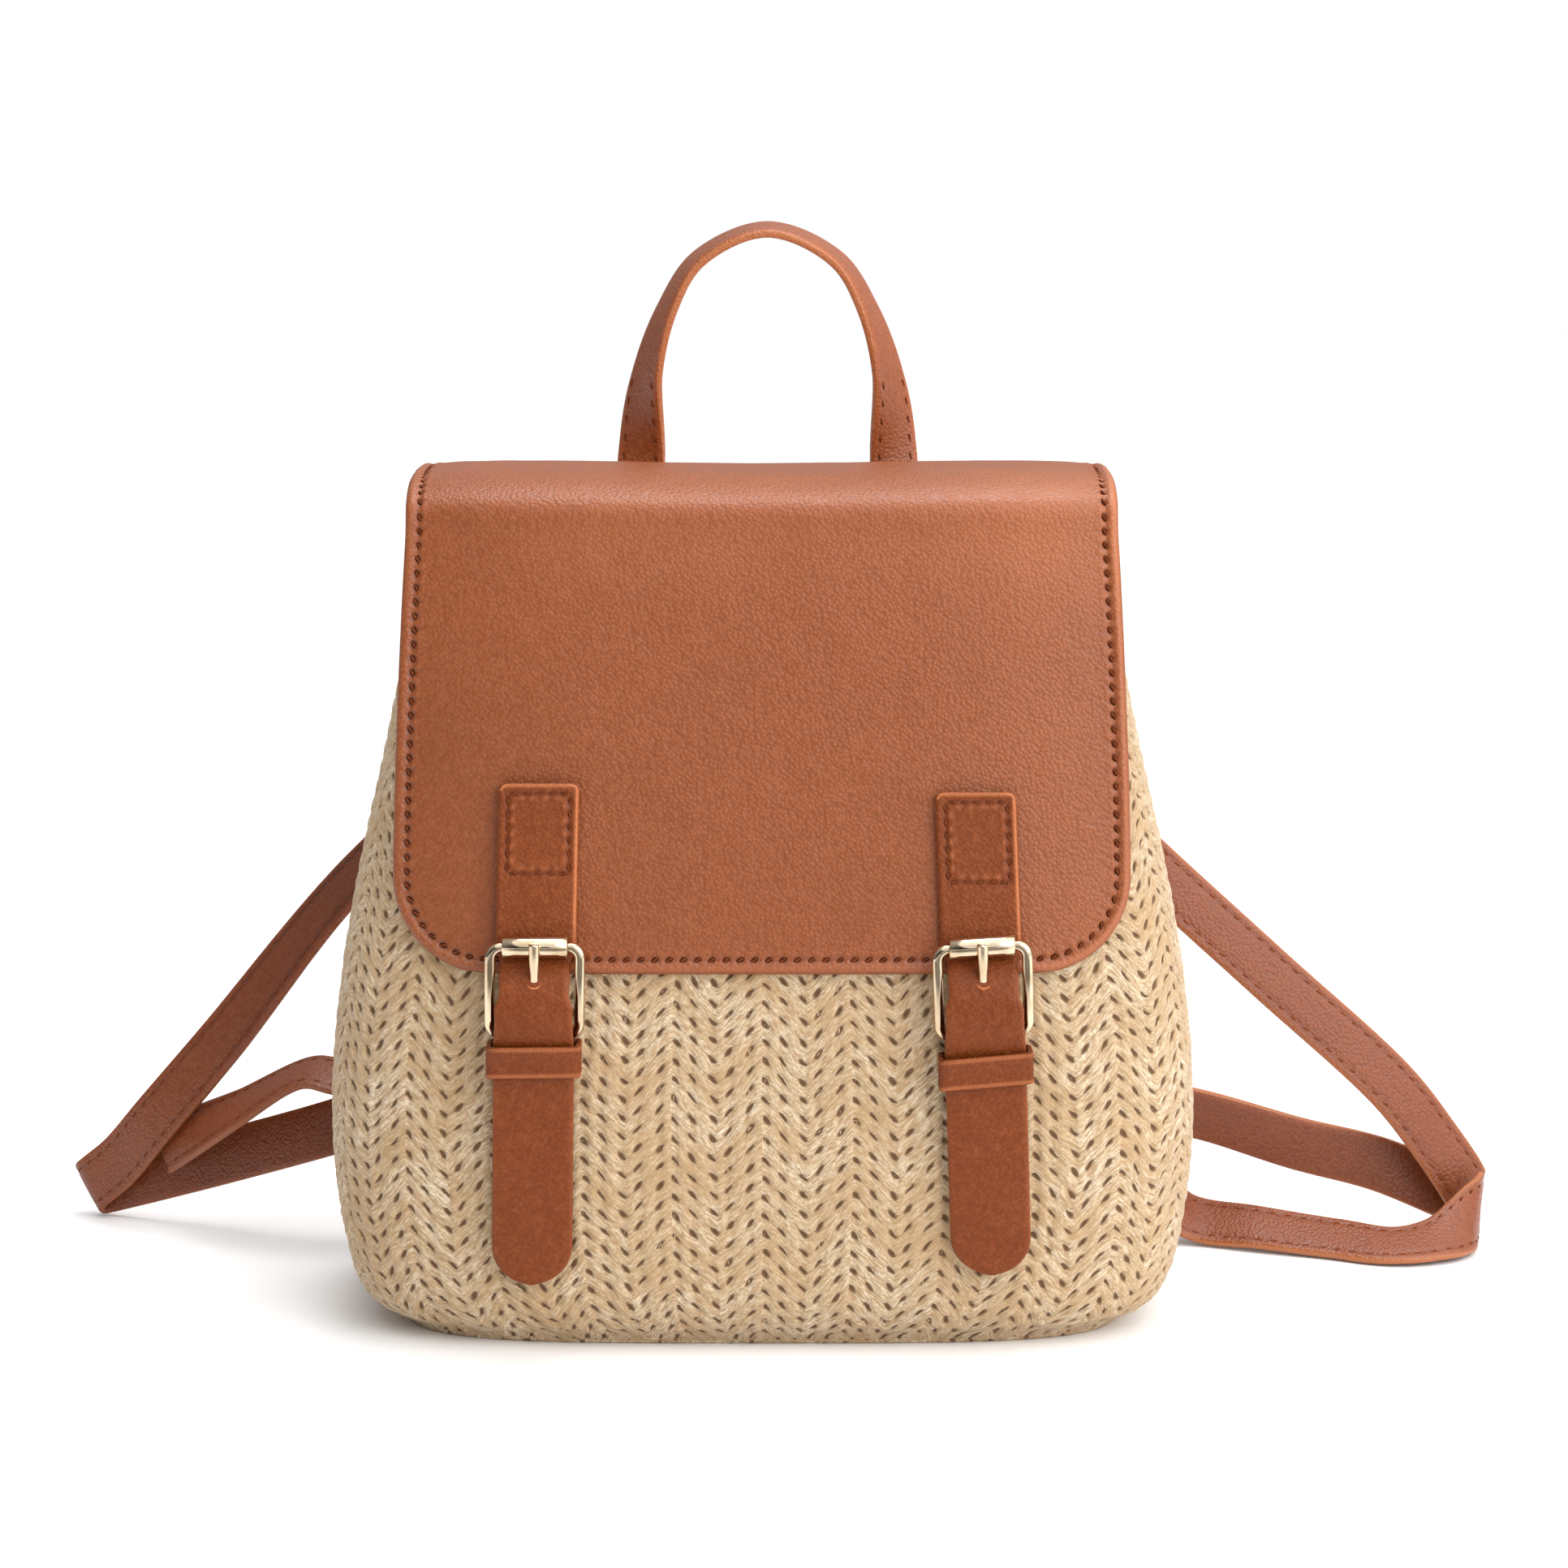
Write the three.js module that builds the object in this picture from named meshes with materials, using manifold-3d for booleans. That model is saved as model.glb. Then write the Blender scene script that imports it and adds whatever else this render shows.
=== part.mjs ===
// Woven straw backpack with a leather flap, in millimetres.
// +Z is up, the front with the buckles faces -Y, and the origin is the middle of the base on the ground.
import * as THREE from "three";
import Module from "manifold-3d";

// Overall sizes
const BODY_W = 240; // widest, low on the bag
const BODY_D = 116; // deepest, low on the bag
const BODY_H = 224; // ground to the rim of the mouth
const WALL = 2; // sewn straw braid
const AROUND = 56; // points round the wall
const GAP = 0.3; // air between pieces that touch
const BASE_T = 2.3; // bottom panel

// Flap
const FLAP_T = 2;
const FLAP_HALF_W = 0.4104 * BODY_W; // at the lower edge
const FLAP_BOTTOM = 0.47 * BODY_H; // height of the lower edge above the ground
const FLAP_BACK = 0.795 * BODY_H; // height of the sewn edge on the back
const FLAP_RISE = 11.5; // crown above the rim, to the underside
const FLAP_CORNER = 25;
const FLAP_GAP = 0.5; // flap to wall
const FLAP_BOW = BODY_W / 2 + 5; // half width at which the flap's section would close

// Buckles and closing straps
const STRAP_T = 2;
const TONGUE_W = 21.6;
const NECK_W = 18.6; // where the strap is squeezed between the frame's corners
const HINGE_Z = FLAP_BOTTOM - 15.3; // hinge bar's height
const BAR_Z = HINGE_Z + 24; // roller bar's height
const FRAME_W = 27; // outside
const RAIL_W = 3.2; // rail seen from the front
const RAIL_T = 2.6; // rail from front to back
const RAIL_BOW = 1.1; // rail bulging forward at half height
const BAR_R = 1.2; // hinge bar and roller bar
const ROLLER_R = 2.9;
const ROLLER_BORE = 1.7;
const ROLLER_L = 17.4;
const FRAME_CORNER = 3; // rail's middle
const PRONG_R = 1.25;
const TAB_T = 1; // one of the folded tab's two layers
const TAB_W = 17;
const TAB_BOTTOM = HINGE_Z - 26;
const KEEPER_T = 1.3;
const KEEPER_TOP = HINGE_Z - 2; // left one
const KEEPER_H = 8.9;
const KEEPER_ROOM = 0.5; // keeper to the strap's edges
// Each strap's middle at its top and tip as shares of the half width, and the heights of both above the
// hinge bar, then the degrees that the buckle and the keeper lean and how far the keeper has slid down
const CLOSURES = {
  left: { x: [-0.4925, -0.517], z: [66.3, -69.2], tilt: 0, drop: 0, keeperTilt: 0.5 },
  right: { x: [0.473, 0.515], z: [64, -66.4], tilt: 3.5, drop: 2.6, keeperTilt: 5 },
};

// Handle and shoulder straps
const HANDLE_W = 14;
const HANDLE_T = 2.6;
const HANDLE_X = 36.6; // feet, each side of the handle's middle
const HANDLE_MID = 1.2;
const HANDLE_FOOT = 16; // foot's end below the rim
const BELT_W = 16.5; // shoulder straps
const BELT_T = 2.4;
const PATCH_T = 1.6;
const PATCH_HALF_W = 26;
const PATCH_H = 20;
const RING_R = 1.2;
const RING_Z = 44;
const RING_X = BODY_W / 2 - 30;
const RING_HALF_X = 4.5;
const RING_HALF_Z = 12.5;
const RING_CORNER = 2.5;
const RING_TAB_T = 1.4;
const RING_TAB_H = 15;
const RING_TAB_L = 24; // ring's bar to the sewn end
const WIRE_SIDES = 10; // corners of a round wire's section

const wasm = await Module();
wasm.setup();
const bag = new THREE.Group();
bag.name = "woven_backpack";

// Height above the base as a share of the body's height, half width and half depth as shares of the widest
const PROFILE = [
  [0.0116, 0.85, 0.82],
  [0.0262, 0.905, 0.885],
  [0.0568, 0.947, 0.95],
  [0.12, 0.978, 0.986],
  [0.2271, 1.0, 1.0],
  [0.3275, 0.996, 0.991],
  [0.4236, 0.9775, 0.9655],
  [0.524, 0.948, 0.926],
  [0.6201, 0.91, 0.876],
  [0.7205, 0.867, 0.819],
  [0.8297, 0.825, 0.75],
  [0.9389, 0.7875, 0.681],
  [1.0, 0.767, 0.6414],
];

function lookUp(column, z) {
  const share = Math.min(Math.max(z / BODY_H, PROFILE[0][0]), 1);
  let i = 0;
  while (i < PROFILE.length - 2 && PROFILE[i + 1][0] < share) i += 1;
  const at = (k) => PROFILE[Math.min(Math.max(k, 0), PROFILE.length - 1)];
  const [a, b, before, after] = [at(i), at(i + 1), at(i - 1), at(i + 2)];
  const span = b[0] - a[0];
  const t = (share - a[0]) / span;
  const slopeA = ((b[column] - before[column]) / (b[0] - before[0])) * span;
  const slopeB = ((after[column] - a[column]) / (after[0] - a[0])) * span;
  const h = t * t * (3 - 2 * t);
  const bend = t * (1 - t) * (slopeA * (1 - t) - slopeB * t);
  return a[column] * (1 - h) + b[column] * h + bend;
}

const halfWidth = (z) => (BODY_W / 2) * lookUp(1, z);
const halfDepth = (z) => (BODY_D / 2) * lookUp(2, z);
// Share of the half depth that is left at x: the section is a squared oval
const squared = (x, half) => Math.pow(Math.max(1 - Math.pow(Math.abs(x) / half, 4), 0), 0.25);
const wallY = (x, z) => halfDepth(z) * squared(x, halfWidth(z));
const flapY = (x, z) => (halfDepth(z) + FLAP_GAP) * squared(x, FLAP_BOW);

// Adds a closed mesh with its faces pointing out
function addMesh(name, positions, indices) {
  let volume = 0;
  for (let i = 0; i < indices.length; i += 3) {
    const [a, b, c] = [0, 1, 2].map((k) => new THREE.Vector3().fromArray(positions, 3 * indices[i + k]));
    volume += a.dot(b.cross(c));
  }
  const faces = volume < 0 ? indices.slice().reverse() : indices;
  const geometry = new THREE.BufferGeometry();
  geometry.setAttribute("position", new THREE.Float32BufferAttribute(positions, 3));
  geometry.setIndex(faces);
  const mesh = new THREE.Mesh(geometry);
  mesh.name = name;
  bag.add(mesh);
  return mesh;
}

// Joins rings of equal length; the last ring meets the first one, or both ends are capped
function loft(name, rings, closed = false) {
  const n = rings[0].length;
  const positions = rings.flat().flatMap((p) => [p.x, p.y, p.z]);
  const indices = [];
  const last = closed ? rings.length : rings.length - 1;
  for (let i = 0; i < last; i += 1) {
    const [a, b] = [i * n, ((i + 1) % rings.length) * n];
    for (let k = 0; k < n; k += 1) {
      const m = (k + 1) % n;
      indices.push(a + k, a + m, b + m, a + k, b + m, b + k);
    }
  }
  if (!closed) {
    const end = (rings.length - 1) * n;
    for (let k = 1; k < n - 1; k += 1) {
      indices.push(0, k + 1, k, end, end + k, end + k + 1);
    }
  }
  return addMesh(name, positions, indices);
}

// A skin of even thickness over a grid of points, on the side of rows x columns' right-handed normal
function skin(name, rows, thickness) {
  const [n, m] = [rows.length, rows[0].length];
  const inner = rows.flat();
  const at = (i, j) => rows[Math.min(Math.max(i, 0), n - 1)][Math.min(Math.max(j, 0), m - 1)];
  const outer = [];
  for (let i = 0; i < n; i += 1) {
    for (let j = 0; j < m; j += 1) {
      const along = at(i + 1, j).clone().sub(at(i - 1, j));
      const across = at(i, j + 1).clone().sub(at(i, j - 1));
      const normal = along.cross(across).normalize();
      outer.push(at(i, j).clone().addScaledVector(normal, thickness));
    }
  }
  const positions = [...inner, ...outer].flatMap((p) => [p.x, p.y, p.z]);
  const shift = n * m;
  const indices = [];
  const quad = (a, b, c, d) => indices.push(a, b, c, a, c, d);
  for (let i = 0; i < n - 1; i += 1) {
    for (let j = 0; j < m - 1; j += 1) {
      const [a, b, c, d] = [i * m + j, i * m + j + 1, (i + 1) * m + j + 1, (i + 1) * m + j];
      quad(a, b, c, d);
      quad(a + shift, d + shift, c + shift, b + shift);
    }
  }
  for (let j = 0; j < m - 1; j += 1) {
    const [a, b] = [(n - 1) * m + j, (n - 1) * m + j + 1];
    quad(j + 1, j, j + shift, j + 1 + shift);
    quad(a, b, b + shift, a + shift);
  }
  for (let i = 0; i < n - 1; i += 1) {
    const [a, b] = [i * m, (i + 1) * m];
    quad(a, b, b + shift, a + shift);
    quad(b + m - 1, a + m - 1, a + m - 1 + shift, b + m - 1 + shift);
  }
  return addMesh(name, positions, indices);
}

// A flat strap along keys of [x, y, z, then the direction across it]
function strap(name, keys, width, thickness, step = 5, widthAt = () => width) {
  const path = new THREE.CatmullRomCurve3(keys.map((k) => new THREE.Vector3(k[0], k[1], k[2])));
  const turn = new THREE.CatmullRomCurve3(keys.map((k) => new THREE.Vector3(k[3], k[4], k[5]).normalize()));
  const spans = keys.length - 1;
  const rings = [];
  for (let i = 0; i < spans; i += 1) {
    const length = path.getPoint((i + 1) / spans).distanceTo(path.getPoint(i / spans));
    const parts = Math.max(3, Math.ceil(length / step));
    for (let k = i === 0 ? 0 : 1; k <= parts; k += 1) {
      const t = (i + k / parts) / spans;
      const along = path.getPoint(Math.min(t + 1e-4, 1)).sub(path.getPoint(Math.max(t - 1e-4, 0)));
      along.normalize();
      const across = turn.getPoint(t).normalize();
      const normal = along.clone().cross(across);
      const half = widthAt(t) / 2 / normal.length();
      normal.normalize().multiplyScalar(thickness / 2);
      const centre = path.getPoint(t);
      rings.push(
        [[-1, -1], [1, -1], [1, 1], [-1, 1]].map(([u, v]) =>
          centre.clone().addScaledVector(across, u * half).addScaledVector(normal, v),
        ),
      );
    }
  }
  return loft(name, rings);
}

// A round wire's section about a point, in the plane of two directions
function circle(centre, radius, sideways, upwards, place = (p) => p) {
  return [...Array(WIRE_SIDES).keys()].map((k) => {
    const a = (k / WIRE_SIDES) * 2 * Math.PI;
    const p = centre.clone().addScaledVector(sideways, radius * Math.cos(a));
    return place(p.addScaledVector(upwards, radius * Math.sin(a)));
  });
}

// Middle line of a rounded rectangle: [u, v, outward u, outward v] for each point
function roundedLoop(halfU, halfV, corner, step) {
  const loop = [];
  for (const [su, sv, from] of [[1, 1, 0], [-1, 1, 90], [-1, -1, 180], [1, -1, 270]]) {
    for (let a = 0; a <= 90; a += step) {
      const r = ((from + a) * Math.PI) / 180;
      const [c, s] = [Math.cos(r), Math.sin(r)];
      loop.push([su * (halfU - corner) + corner * c, sv * (halfV - corner) + corner * s, c, s]);
    }
  }
  return loop;
}

// Points round a squared oval at even steps
function oval(halfX, halfY, z, count) {
  const fine = [];
  for (let i = 0; i <= 720; i += 1) {
    const a = (i / 720) * 2 * Math.PI;
    const [c, s] = [Math.cos(a), Math.sin(a)];
    const r = Math.pow(Math.pow(c / halfX, 4) + Math.pow(s / halfY, 4), -0.25);
    fine.push([r * c, r * s]);
  }
  const run = [0];
  for (let i = 1; i < fine.length; i += 1) {
    run.push(run[i - 1] + Math.hypot(fine[i][0] - fine[i - 1][0], fine[i][1] - fine[i - 1][1]));
  }
  const ring = [];
  let i = 0;
  for (let k = 0; k < count; k += 1) {
    const s = (k / count) * run[720];
    while (run[i + 1] < s) i += 1;
    const t = (s - run[i]) / (run[i + 1] - run[i]);
    ring.push(
      new THREE.Vector3(
        fine[i][0] * (1 - t) + fine[i + 1][0] * t,
        fine[i][1] * (1 - t) + fine[i + 1][1] * t,
        z,
      ),
    );
  }
  return ring;
}

// Straw wall: outside up, over the rim, inside down
const levels = PROFILE.map((row) => row[0] * BODY_H);
levels[0] = BASE_T + GAP;
const outside = levels.map((z) => oval(halfWidth(z), halfDepth(z), z, AROUND));
const inside = levels.map((z) => oval(halfWidth(z) - WALL, halfDepth(z) - WALL, z, AROUND)).reverse();
loft("woven_body", [...outside, ...inside], true);

// Bottom panel, standing out past the wall, with an eased lower edge
const BASE_OUT = 0.4;
const footX = halfWidth(0) + BASE_OUT;
const footY = halfDepth(0) + BASE_OUT;
loft("woven_base", [
  oval(footX - 1, footY - 1, 0, AROUND),
  oval(footX, footY, BASE_T / 3, AROUND),
  oval(footX, footY, BASE_T, AROUND),
]);

// Flap: from the back edge over the crown to the rounded lower corners
const crest = halfDepth(BODY_H) + FLAP_GAP;
const back = [0, 0.24, 0.49, 0.71, 0.87, 1].map((share) => {
  const z = FLAP_BACK + share * (BODY_H - 1 - FLAP_BACK);
  return [flapY(0, z), z];
});
// Shares of the crest's depth and of the rise
const crown = [
  [1.0, 0.33],
  [0.95, 0.52],
  [0.83, 0.73],
  [0.62, 0.9],
  [0.32, 0.985],
  [0, 1],
].map(([y, z]) => [y * crest + 0.3, BODY_H - 1 + z * (FLAP_RISE + 1)]);
const crownFront = crown.slice(0, -1).reverse().map(([y, z]) => [-y, z]);
const front = [];
for (let z = BODY_H - 2; z > FLAP_BOTTOM + FLAP_CORNER + 2; z -= 10.2) front.push([-flapY(0, z), z]);
for (const degrees of [0, 18, 34, 50, 64, 76, 86, 90]) {
  const a = (degrees * Math.PI) / 180;
  const z = FLAP_BOTTOM + FLAP_CORNER * (1 - Math.sin(a));
  front.push([-flapY(0, z), z, FLAP_CORNER * (1 - Math.cos(a))]);
}
// The flap is narrower over the crown and narrows again down the back
const flapRows = [...back, ...crown, ...crownFront, ...front].map(([y, z, cut = 0]) => {
  const drop = Math.min(Math.max((BODY_H - z) / (BODY_H - FLAP_BOTTOM - FLAP_CORNER), 0), 1);
  const half = y < 0 ? FLAP_HALF_W - 3.5 * Math.pow(1 - drop, 1.5) - cut : FLAP_HALF_W - 3.5 - 3 * drop;
  const row = [];
  for (let j = 0; j <= 16; j += 1) {
    const x = half * Math.sin(((j / 8 - 1) * Math.PI) / 2.35) / Math.sin(Math.PI / 2.35);
    row.push(new THREE.Vector3(x, y * squared(x, FLAP_BOW), z));
  }
  return row;
});
skin("flap", flapRows, FLAP_T);

// Closing straps and buckles: laid out by height z and distance n in front of the wall
const STRAP_N = FLAP_T + 1.05 + GAP + STRAP_T / 2; // strap's middle on top of the flap
const ROLLER_N = STRAP_N + STRAP_T / 2 + 2 * GAP + ROLLER_R;
const HINGE_N = BAR_R + GAP + TAB_T + 1;
const PRONG_END = [BAR_Z + 1.6, ROLLER_N + ROLLER_R + PRONG_R + 0.7];
const HOOK_R = BAR_R + GAP + PRONG_R + 0.1; // prong's middle round the hinge bar
// Strap's middle: height above the hinge bar and distance from the wall, from its top to near its tip
const TONGUE = [
  [54, STRAP_N],
  [42, STRAP_N],
  [32, STRAP_N],
  [27.5, STRAP_N],
  [BAR_Z - HINGE_Z - 0.4, STRAP_N + 0.02],
  [21, STRAP_N + 0.95],
  [18.3, STRAP_N + 2.9],
  [15, STRAP_N + 5.2],
  [9.8, STRAP_N + 6.8],
  [4.6, STRAP_N + 6.6],
  [0, STRAP_N + 5.2],
  [-4, STRAP_N + 3.7],
  [-8, STRAP_N + 2.6],
  [-13, STRAP_N + 1.7],
  [-21, STRAP_N + 0.8],
  [-33, STRAP_N - 0.4],
  [-46, STRAP_N - 1.5],
  [-57, STRAP_N - 1.9],
].map(([up, n]) => [HINGE_Z + up, n]);
const CROSSING = [HINGE_Z + 15, STRAP_N + 5.2]; // where the prong comes through the strap

function closure(side) {
  const { x: [top, tip], z, tilt, drop, keeperTilt } = CLOSURES[side];
  const [topZ, tipZ] = z.map((up) => HINGE_Z + up);
  const middle = (h) => (BODY_W / 2) * (top + ((tip - top) * (topZ - h)) / (topZ - tipZ));
  const near = (h) => Math.abs(middle(h)) - TONGUE_W / 2 - 1;
  const place = (u, h, n) => new THREE.Vector3(middle(h) + u, -wallY(near(h), h) - n, h);
  const leaning = (degrees) => (u, h, n) => place(u, h + u * Math.tan((degrees * Math.PI) / 180), n);
  const placeTilted = leaning(tilt);

  const run = [[topZ, STRAP_N], ...TONGUE, [tipZ, STRAP_N - 1.9]];
  const keys = run.map(([h, n]) => [...place(0, h, n).toArray(), 1, 0, 0]);
  const tipLength = TONGUE_W / 2;
  const spans = run.length - 1;
  const heightAt = (t) => {
    const i = Math.min(Math.floor(t * spans), spans - 1);
    return run[i][0] + (run[i + 1][0] - run[i][0]) * (t * spans - i);
  };
  const widthAt = (t) => {
    const h = heightAt(t);
    const fromTip = Math.max(h - tipZ, 0);
    if (fromTip < tipLength) {
      return Math.max(2 * Math.sqrt(tipLength ** 2 - (tipLength - fromTip) ** 2), 4);
    }
    const fromNeck = Math.max(h - BAR_Z - 1.5, BAR_Z - 9 - h, 0);
    const squeeze = Math.max(1 - fromNeck / 4.5, 0);
    return TONGUE_W - (TONGUE_W - NECK_W) * (3 - 2 * squeeze) * squeeze ** 2;
  };
  const tongue = strap(`closure_strap_${side}`, keys, TONGUE_W, STRAP_T, 3, widthAt);

  // Frame: a ring of rail with thinner bars at the top and bottom
  const halfW = (FRAME_W - RAIL_W) / 2;
  const midZ = (BAR_Z + HINGE_Z) / 2;
  const nAt = (h) => {
    const t = (h - HINGE_Z) / (BAR_Z - HINGE_Z);
    return HINGE_N + (ROLLER_N - HINGE_N) * t + RAIL_BOW * Math.sin(Math.PI * t);
  };
  const rings = roundedLoop(halfW, (BAR_Z - HINGE_Z) / 2, FRAME_CORNER, 18).map(([u, v, du, dv]) => {
    const bar = Math.abs(u) <= halfW - FRAME_CORNER + 0.01;
    const [w, t] = bar ? [BAR_R, BAR_R] : [RAIL_W / 2, RAIL_T / 2];
    return [...Array(WIRE_SIDES).keys()].map((k) => {
      const c = (k / WIRE_SIDES) * 2 * Math.PI;
      const out = w * Math.cos(c);
      return placeTilted(u + out * du, midZ + v + out * dv, nAt(midZ + v) + t * Math.sin(c));
    });
  });
  loft(`buckle_frame_${side}`, rings, true);

  // Roller: a tube that is loose on the upper bar
  const tube = [];
  for (const [r, u] of [[ROLLER_R, -0.5], [ROLLER_R, 0.5], [ROLLER_BORE, 0.5], [ROLLER_BORE, -0.5]]) {
    tube.push([...Array(20).keys()].map((k) => {
      const c = (k / 20) * 2 * Math.PI;
      const p = placeTilted(u * ROLLER_L, BAR_Z, ROLLER_N + r * Math.sin(c));
      p.z += r * Math.cos(c);
      return p;
    }));
  }
  loft(`buckle_roller_${side}`, tube, true);

  // Prong: hooked round the hinge bar, through the strap, tip on the roller
  const under = [150, 115, 85].map((degrees) => {
    const a = (degrees * Math.PI) / 180;
    return [HINGE_Z + HOOK_R * Math.cos(a), HINGE_N + HOOK_R * Math.sin(a)];
  });
  under.push([HINGE_Z + 7, HINGE_N + HOOK_R + 1.35], CROSSING);
  under.push([PRONG_END[0] - 4.5, PRONG_END[1] - 1.25], PRONG_END);
  const wire = (name, radius) => {
    const path = new THREE.CatmullRomCurve3(under.map(([h, n]) => placeTilted(0, h, n)));
    const count = under.length * 4;
    const sideways = new THREE.Vector3(1, 0, 0);
    return loft(name, [...Array(count + 1).keys()].map((i) => {
      const upwards = path.getTangent(i / count).cross(sideways).normalize();
      return circle(path.getPoint(i / count), radius, sideways, upwards);
    }));
  };
  wire(`buckle_prong_${side}`, PRONG_R);
  const hole = wire("hole", PRONG_R + GAP + 0.1);
  bag.remove(hole);

  // Buckle tab: folded round the hinge bar, over the keeper's back, its end sewn to the wall
  const lift = GAP + KEEPER_T + GAP;
  const foot = TAB_BOTTOM + 5;
  const shoulder = foot + 5.5;
  const outline = new THREE.Shape();
  outline.moveTo(TAB_BOTTOM, GAP);
  outline.lineTo(TAB_BOTTOM, GAP + 2 * TAB_T);
  outline.lineTo(foot, GAP + 2 * TAB_T);
  outline.lineTo(shoulder, lift + 2 * TAB_T);
  outline.lineTo(KEEPER_TOP - KEEPER_H, lift + 2 * TAB_T);
  const loopR = BAR_R + GAP;
  for (let degrees = 140; degrees >= -140; degrees -= 20) {
    const a = (degrees * Math.PI) / 180;
    outline.lineTo(HINGE_Z + (loopR + TAB_T) * Math.cos(a), HINGE_N + (loopR + TAB_T) * Math.sin(a));
  }
  outline.lineTo(KEEPER_TOP - KEEPER_H, lift);
  outline.lineTo(shoulder, lift);
  outline.lineTo(foot, GAP);
  outline.holes.push(eyeHole(HINGE_Z, HINGE_N, loopR));
  const slab = new THREE.ExtrudeGeometry(outline, { depth: TAB_W, bevelEnabled: false, steps: 1 });
  const at = slab.getAttribute("position");
  for (let i = 0; i < at.count; i += 1) {
    const p = placeTilted(at.getZ(i) - TAB_W / 2, at.getX(i), at.getY(i));
    at.setXYZ(i, p.x, p.y, p.z);
  }
  addSolid(`buckle_tab_${side}`, cut(new THREE.Mesh(slab), [hole, notch(placeTilted)]));
  bag.remove(tongue);
  addSolid(`closure_strap_${side}`, cut(tongue, [hole]));

  // Keeper: a flat loop round the strap and the tab
  const inner = (h) => {
    const i = run.findIndex(([z0]) => z0 <= h);
    const [[z0, n0], [z1, n1]] = [run[i - 1], run[i]];
    return n0 + ((n1 - n0) * (z0 - h)) / (z0 - z1) + STRAP_T / 2 + GAP;
  };
  const [low, high] = [KEEPER_TOP - drop - KEEPER_H, KEEPER_TOP - drop];
  const placeKeeper = leaning(keeperTilt);
  const rise = (TONGUE_W / 2) * Math.tan((keeperTilt * Math.PI) / 180);
  const band = (h, extra) => {
    const n0 = GAP + KEEPER_T - extra;
    const n1 = Math.max(inner(h), inner(h + 1 + rise)) + extra + GAP / 2;
    const halfU = TONGUE_W / 2 + KEEPER_ROOM + extra;
    const corner = 0.8 + extra / 2;
    const middleN = (n0 + n1) / 2;
    return roundedLoop(halfU, n1 - middleN, corner, 45).map(([u, n]) => placeKeeper(u, h, middleN + n));
  };
  const steps = [0, 1 / 3, 2 / 3, 1].map((share) => low + share * (high - low));
  loft(`keeper_${side}`, [
    ...steps.map((h) => band(h, KEEPER_T)),
    ...steps.reverse().map((h) => band(h, 0)),
  ], true);
}

// Room for the prong's hook at the hinge bar
function notch(place) {
  const block = new THREE.BoxGeometry(2 * (PRONG_R + GAP + 0.1), 12, 2 * (BAR_R + GAP + TAB_T) + 0.6);
  const c = place(0, HINGE_Z, HINGE_N);
  block.translate(c.x, c.y, c.z);
  return new THREE.Mesh(block);
}

// Round hole in an outline, for a bar
function eyeHole(x, y, radius) {
  const points = [...Array(12).keys()].map((k) => {
    const a = (k / 12) * 2 * Math.PI;
    return new THREE.Vector2(x + radius * Math.cos(a), y + radius * Math.sin(a));
  });
  return new THREE.Path(points);
}

// A mesh as a solid, its equal corners merged
function manifoldOf(mesh) {
  const source = mesh.geometry.index ? mesh.geometry.toNonIndexed() : mesh.geometry;
  const keyed = new Map();
  const vertices = [];
  const triangles = [];
  const position = source.getAttribute("position");
  for (let i = 0; i < position.count; i += 1) {
    const p = [position.getX(i), position.getY(i), position.getZ(i)];
    const key = p.map((v) => Math.round(v * 1e4)).join();
    if (!keyed.has(key)) {
      keyed.set(key, vertices.length / 3);
      vertices.push(...p);
    }
    triangles.push(keyed.get(key));
  }
  return new wasm.Manifold(new wasm.Mesh({
    numProp: 3,
    vertProperties: new Float32Array(vertices),
    triVerts: new Uint32Array(triangles),
  }));
}

function cut(mesh, tools) {
  let body = manifoldOf(mesh);
  for (const tool of tools) body = body.subtract(manifoldOf(tool));
  return body;
}

function addSolid(name, solid) {
  const out = solid.getMesh();
  return addMesh(name, Array.from(out.vertProperties), Array.from(out.triVerts));
}

closure("left");
closure("right");

// Handle: flat on the back at its feet, a quarter turned at the top
const onFlap = (x, z, n) => flapY(x, z) + FLAP_T + n;
const footN = 2 * GAP + HANDLE_T / 2;
const onBack = (up, extra) => onFlap(HANDLE_X, BODY_H + up, footN + extra);
// Share of the foot's distance from the middle, height above the rim, y, direction across the left leg
const legs = [
  [1.0, -HANDLE_FOOT, onBack(-HANDLE_FOOT, 0), [1, 0, 0]],
  [1.0, -9, onBack(-9, 0), [1, 0, 0]],
  [1.0, 0, onBack(0, 0.6), [1, -0.04, 0]],
  [0.985, 12.5, crest + 5.7, [0.95, -0.31, 0]],
  [0.94, 35, crest + 2.3, [0.56, -0.83, 0]],
  [0.775, 54.3, crest - 0.7, [0.3, -0.95, -0.1]],
  [0.53, 68.3, crest - 1.9, [0.15, -0.97, -0.16]],
  [0, 76.5, crest - 2.7, [0, -0.98, -0.17]],
];
const leg = (side) => ([share, up, y, [wx, wy, wz]]) => [
  HANDLE_MID + side * share * HANDLE_X, y, BODY_H + up, -side * wx, wy, wz,
];
strap("top_handle", [...legs.map(leg(-1)), ...legs.slice(0, -1).reverse().map(leg(1))], HANDLE_W, HANDLE_T);

// Shoulder straps. Past the back panel the keys are set from the body's widest side and deepest back,
// high ones by shares of the body's height and low ones by their height above the ground.
const [SX, SY] = [BODY_W / 2, BODY_D / 2];
const high = (share) => share * BODY_H;
const beltN = GAP + BELT_T / 2;
const upper = (side) => {
  // The direction across follows the slope of the back
  const on = (x, down, extra) => {
    const [z, n] = [BODY_H - down, beltN + extra];
    const slope = onFlap(x + 0.75, z + 0.66, n) - onFlap(x - 0.75, z - 0.66, n);
    return [side * x, onFlap(x, z, n), z, side * 0.75, slope / 2, 0.66];
  };
  return [on(11.5, 13, 0.2), on(17, 19, 0.2), on(31, 34, 0.4)];
};
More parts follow.
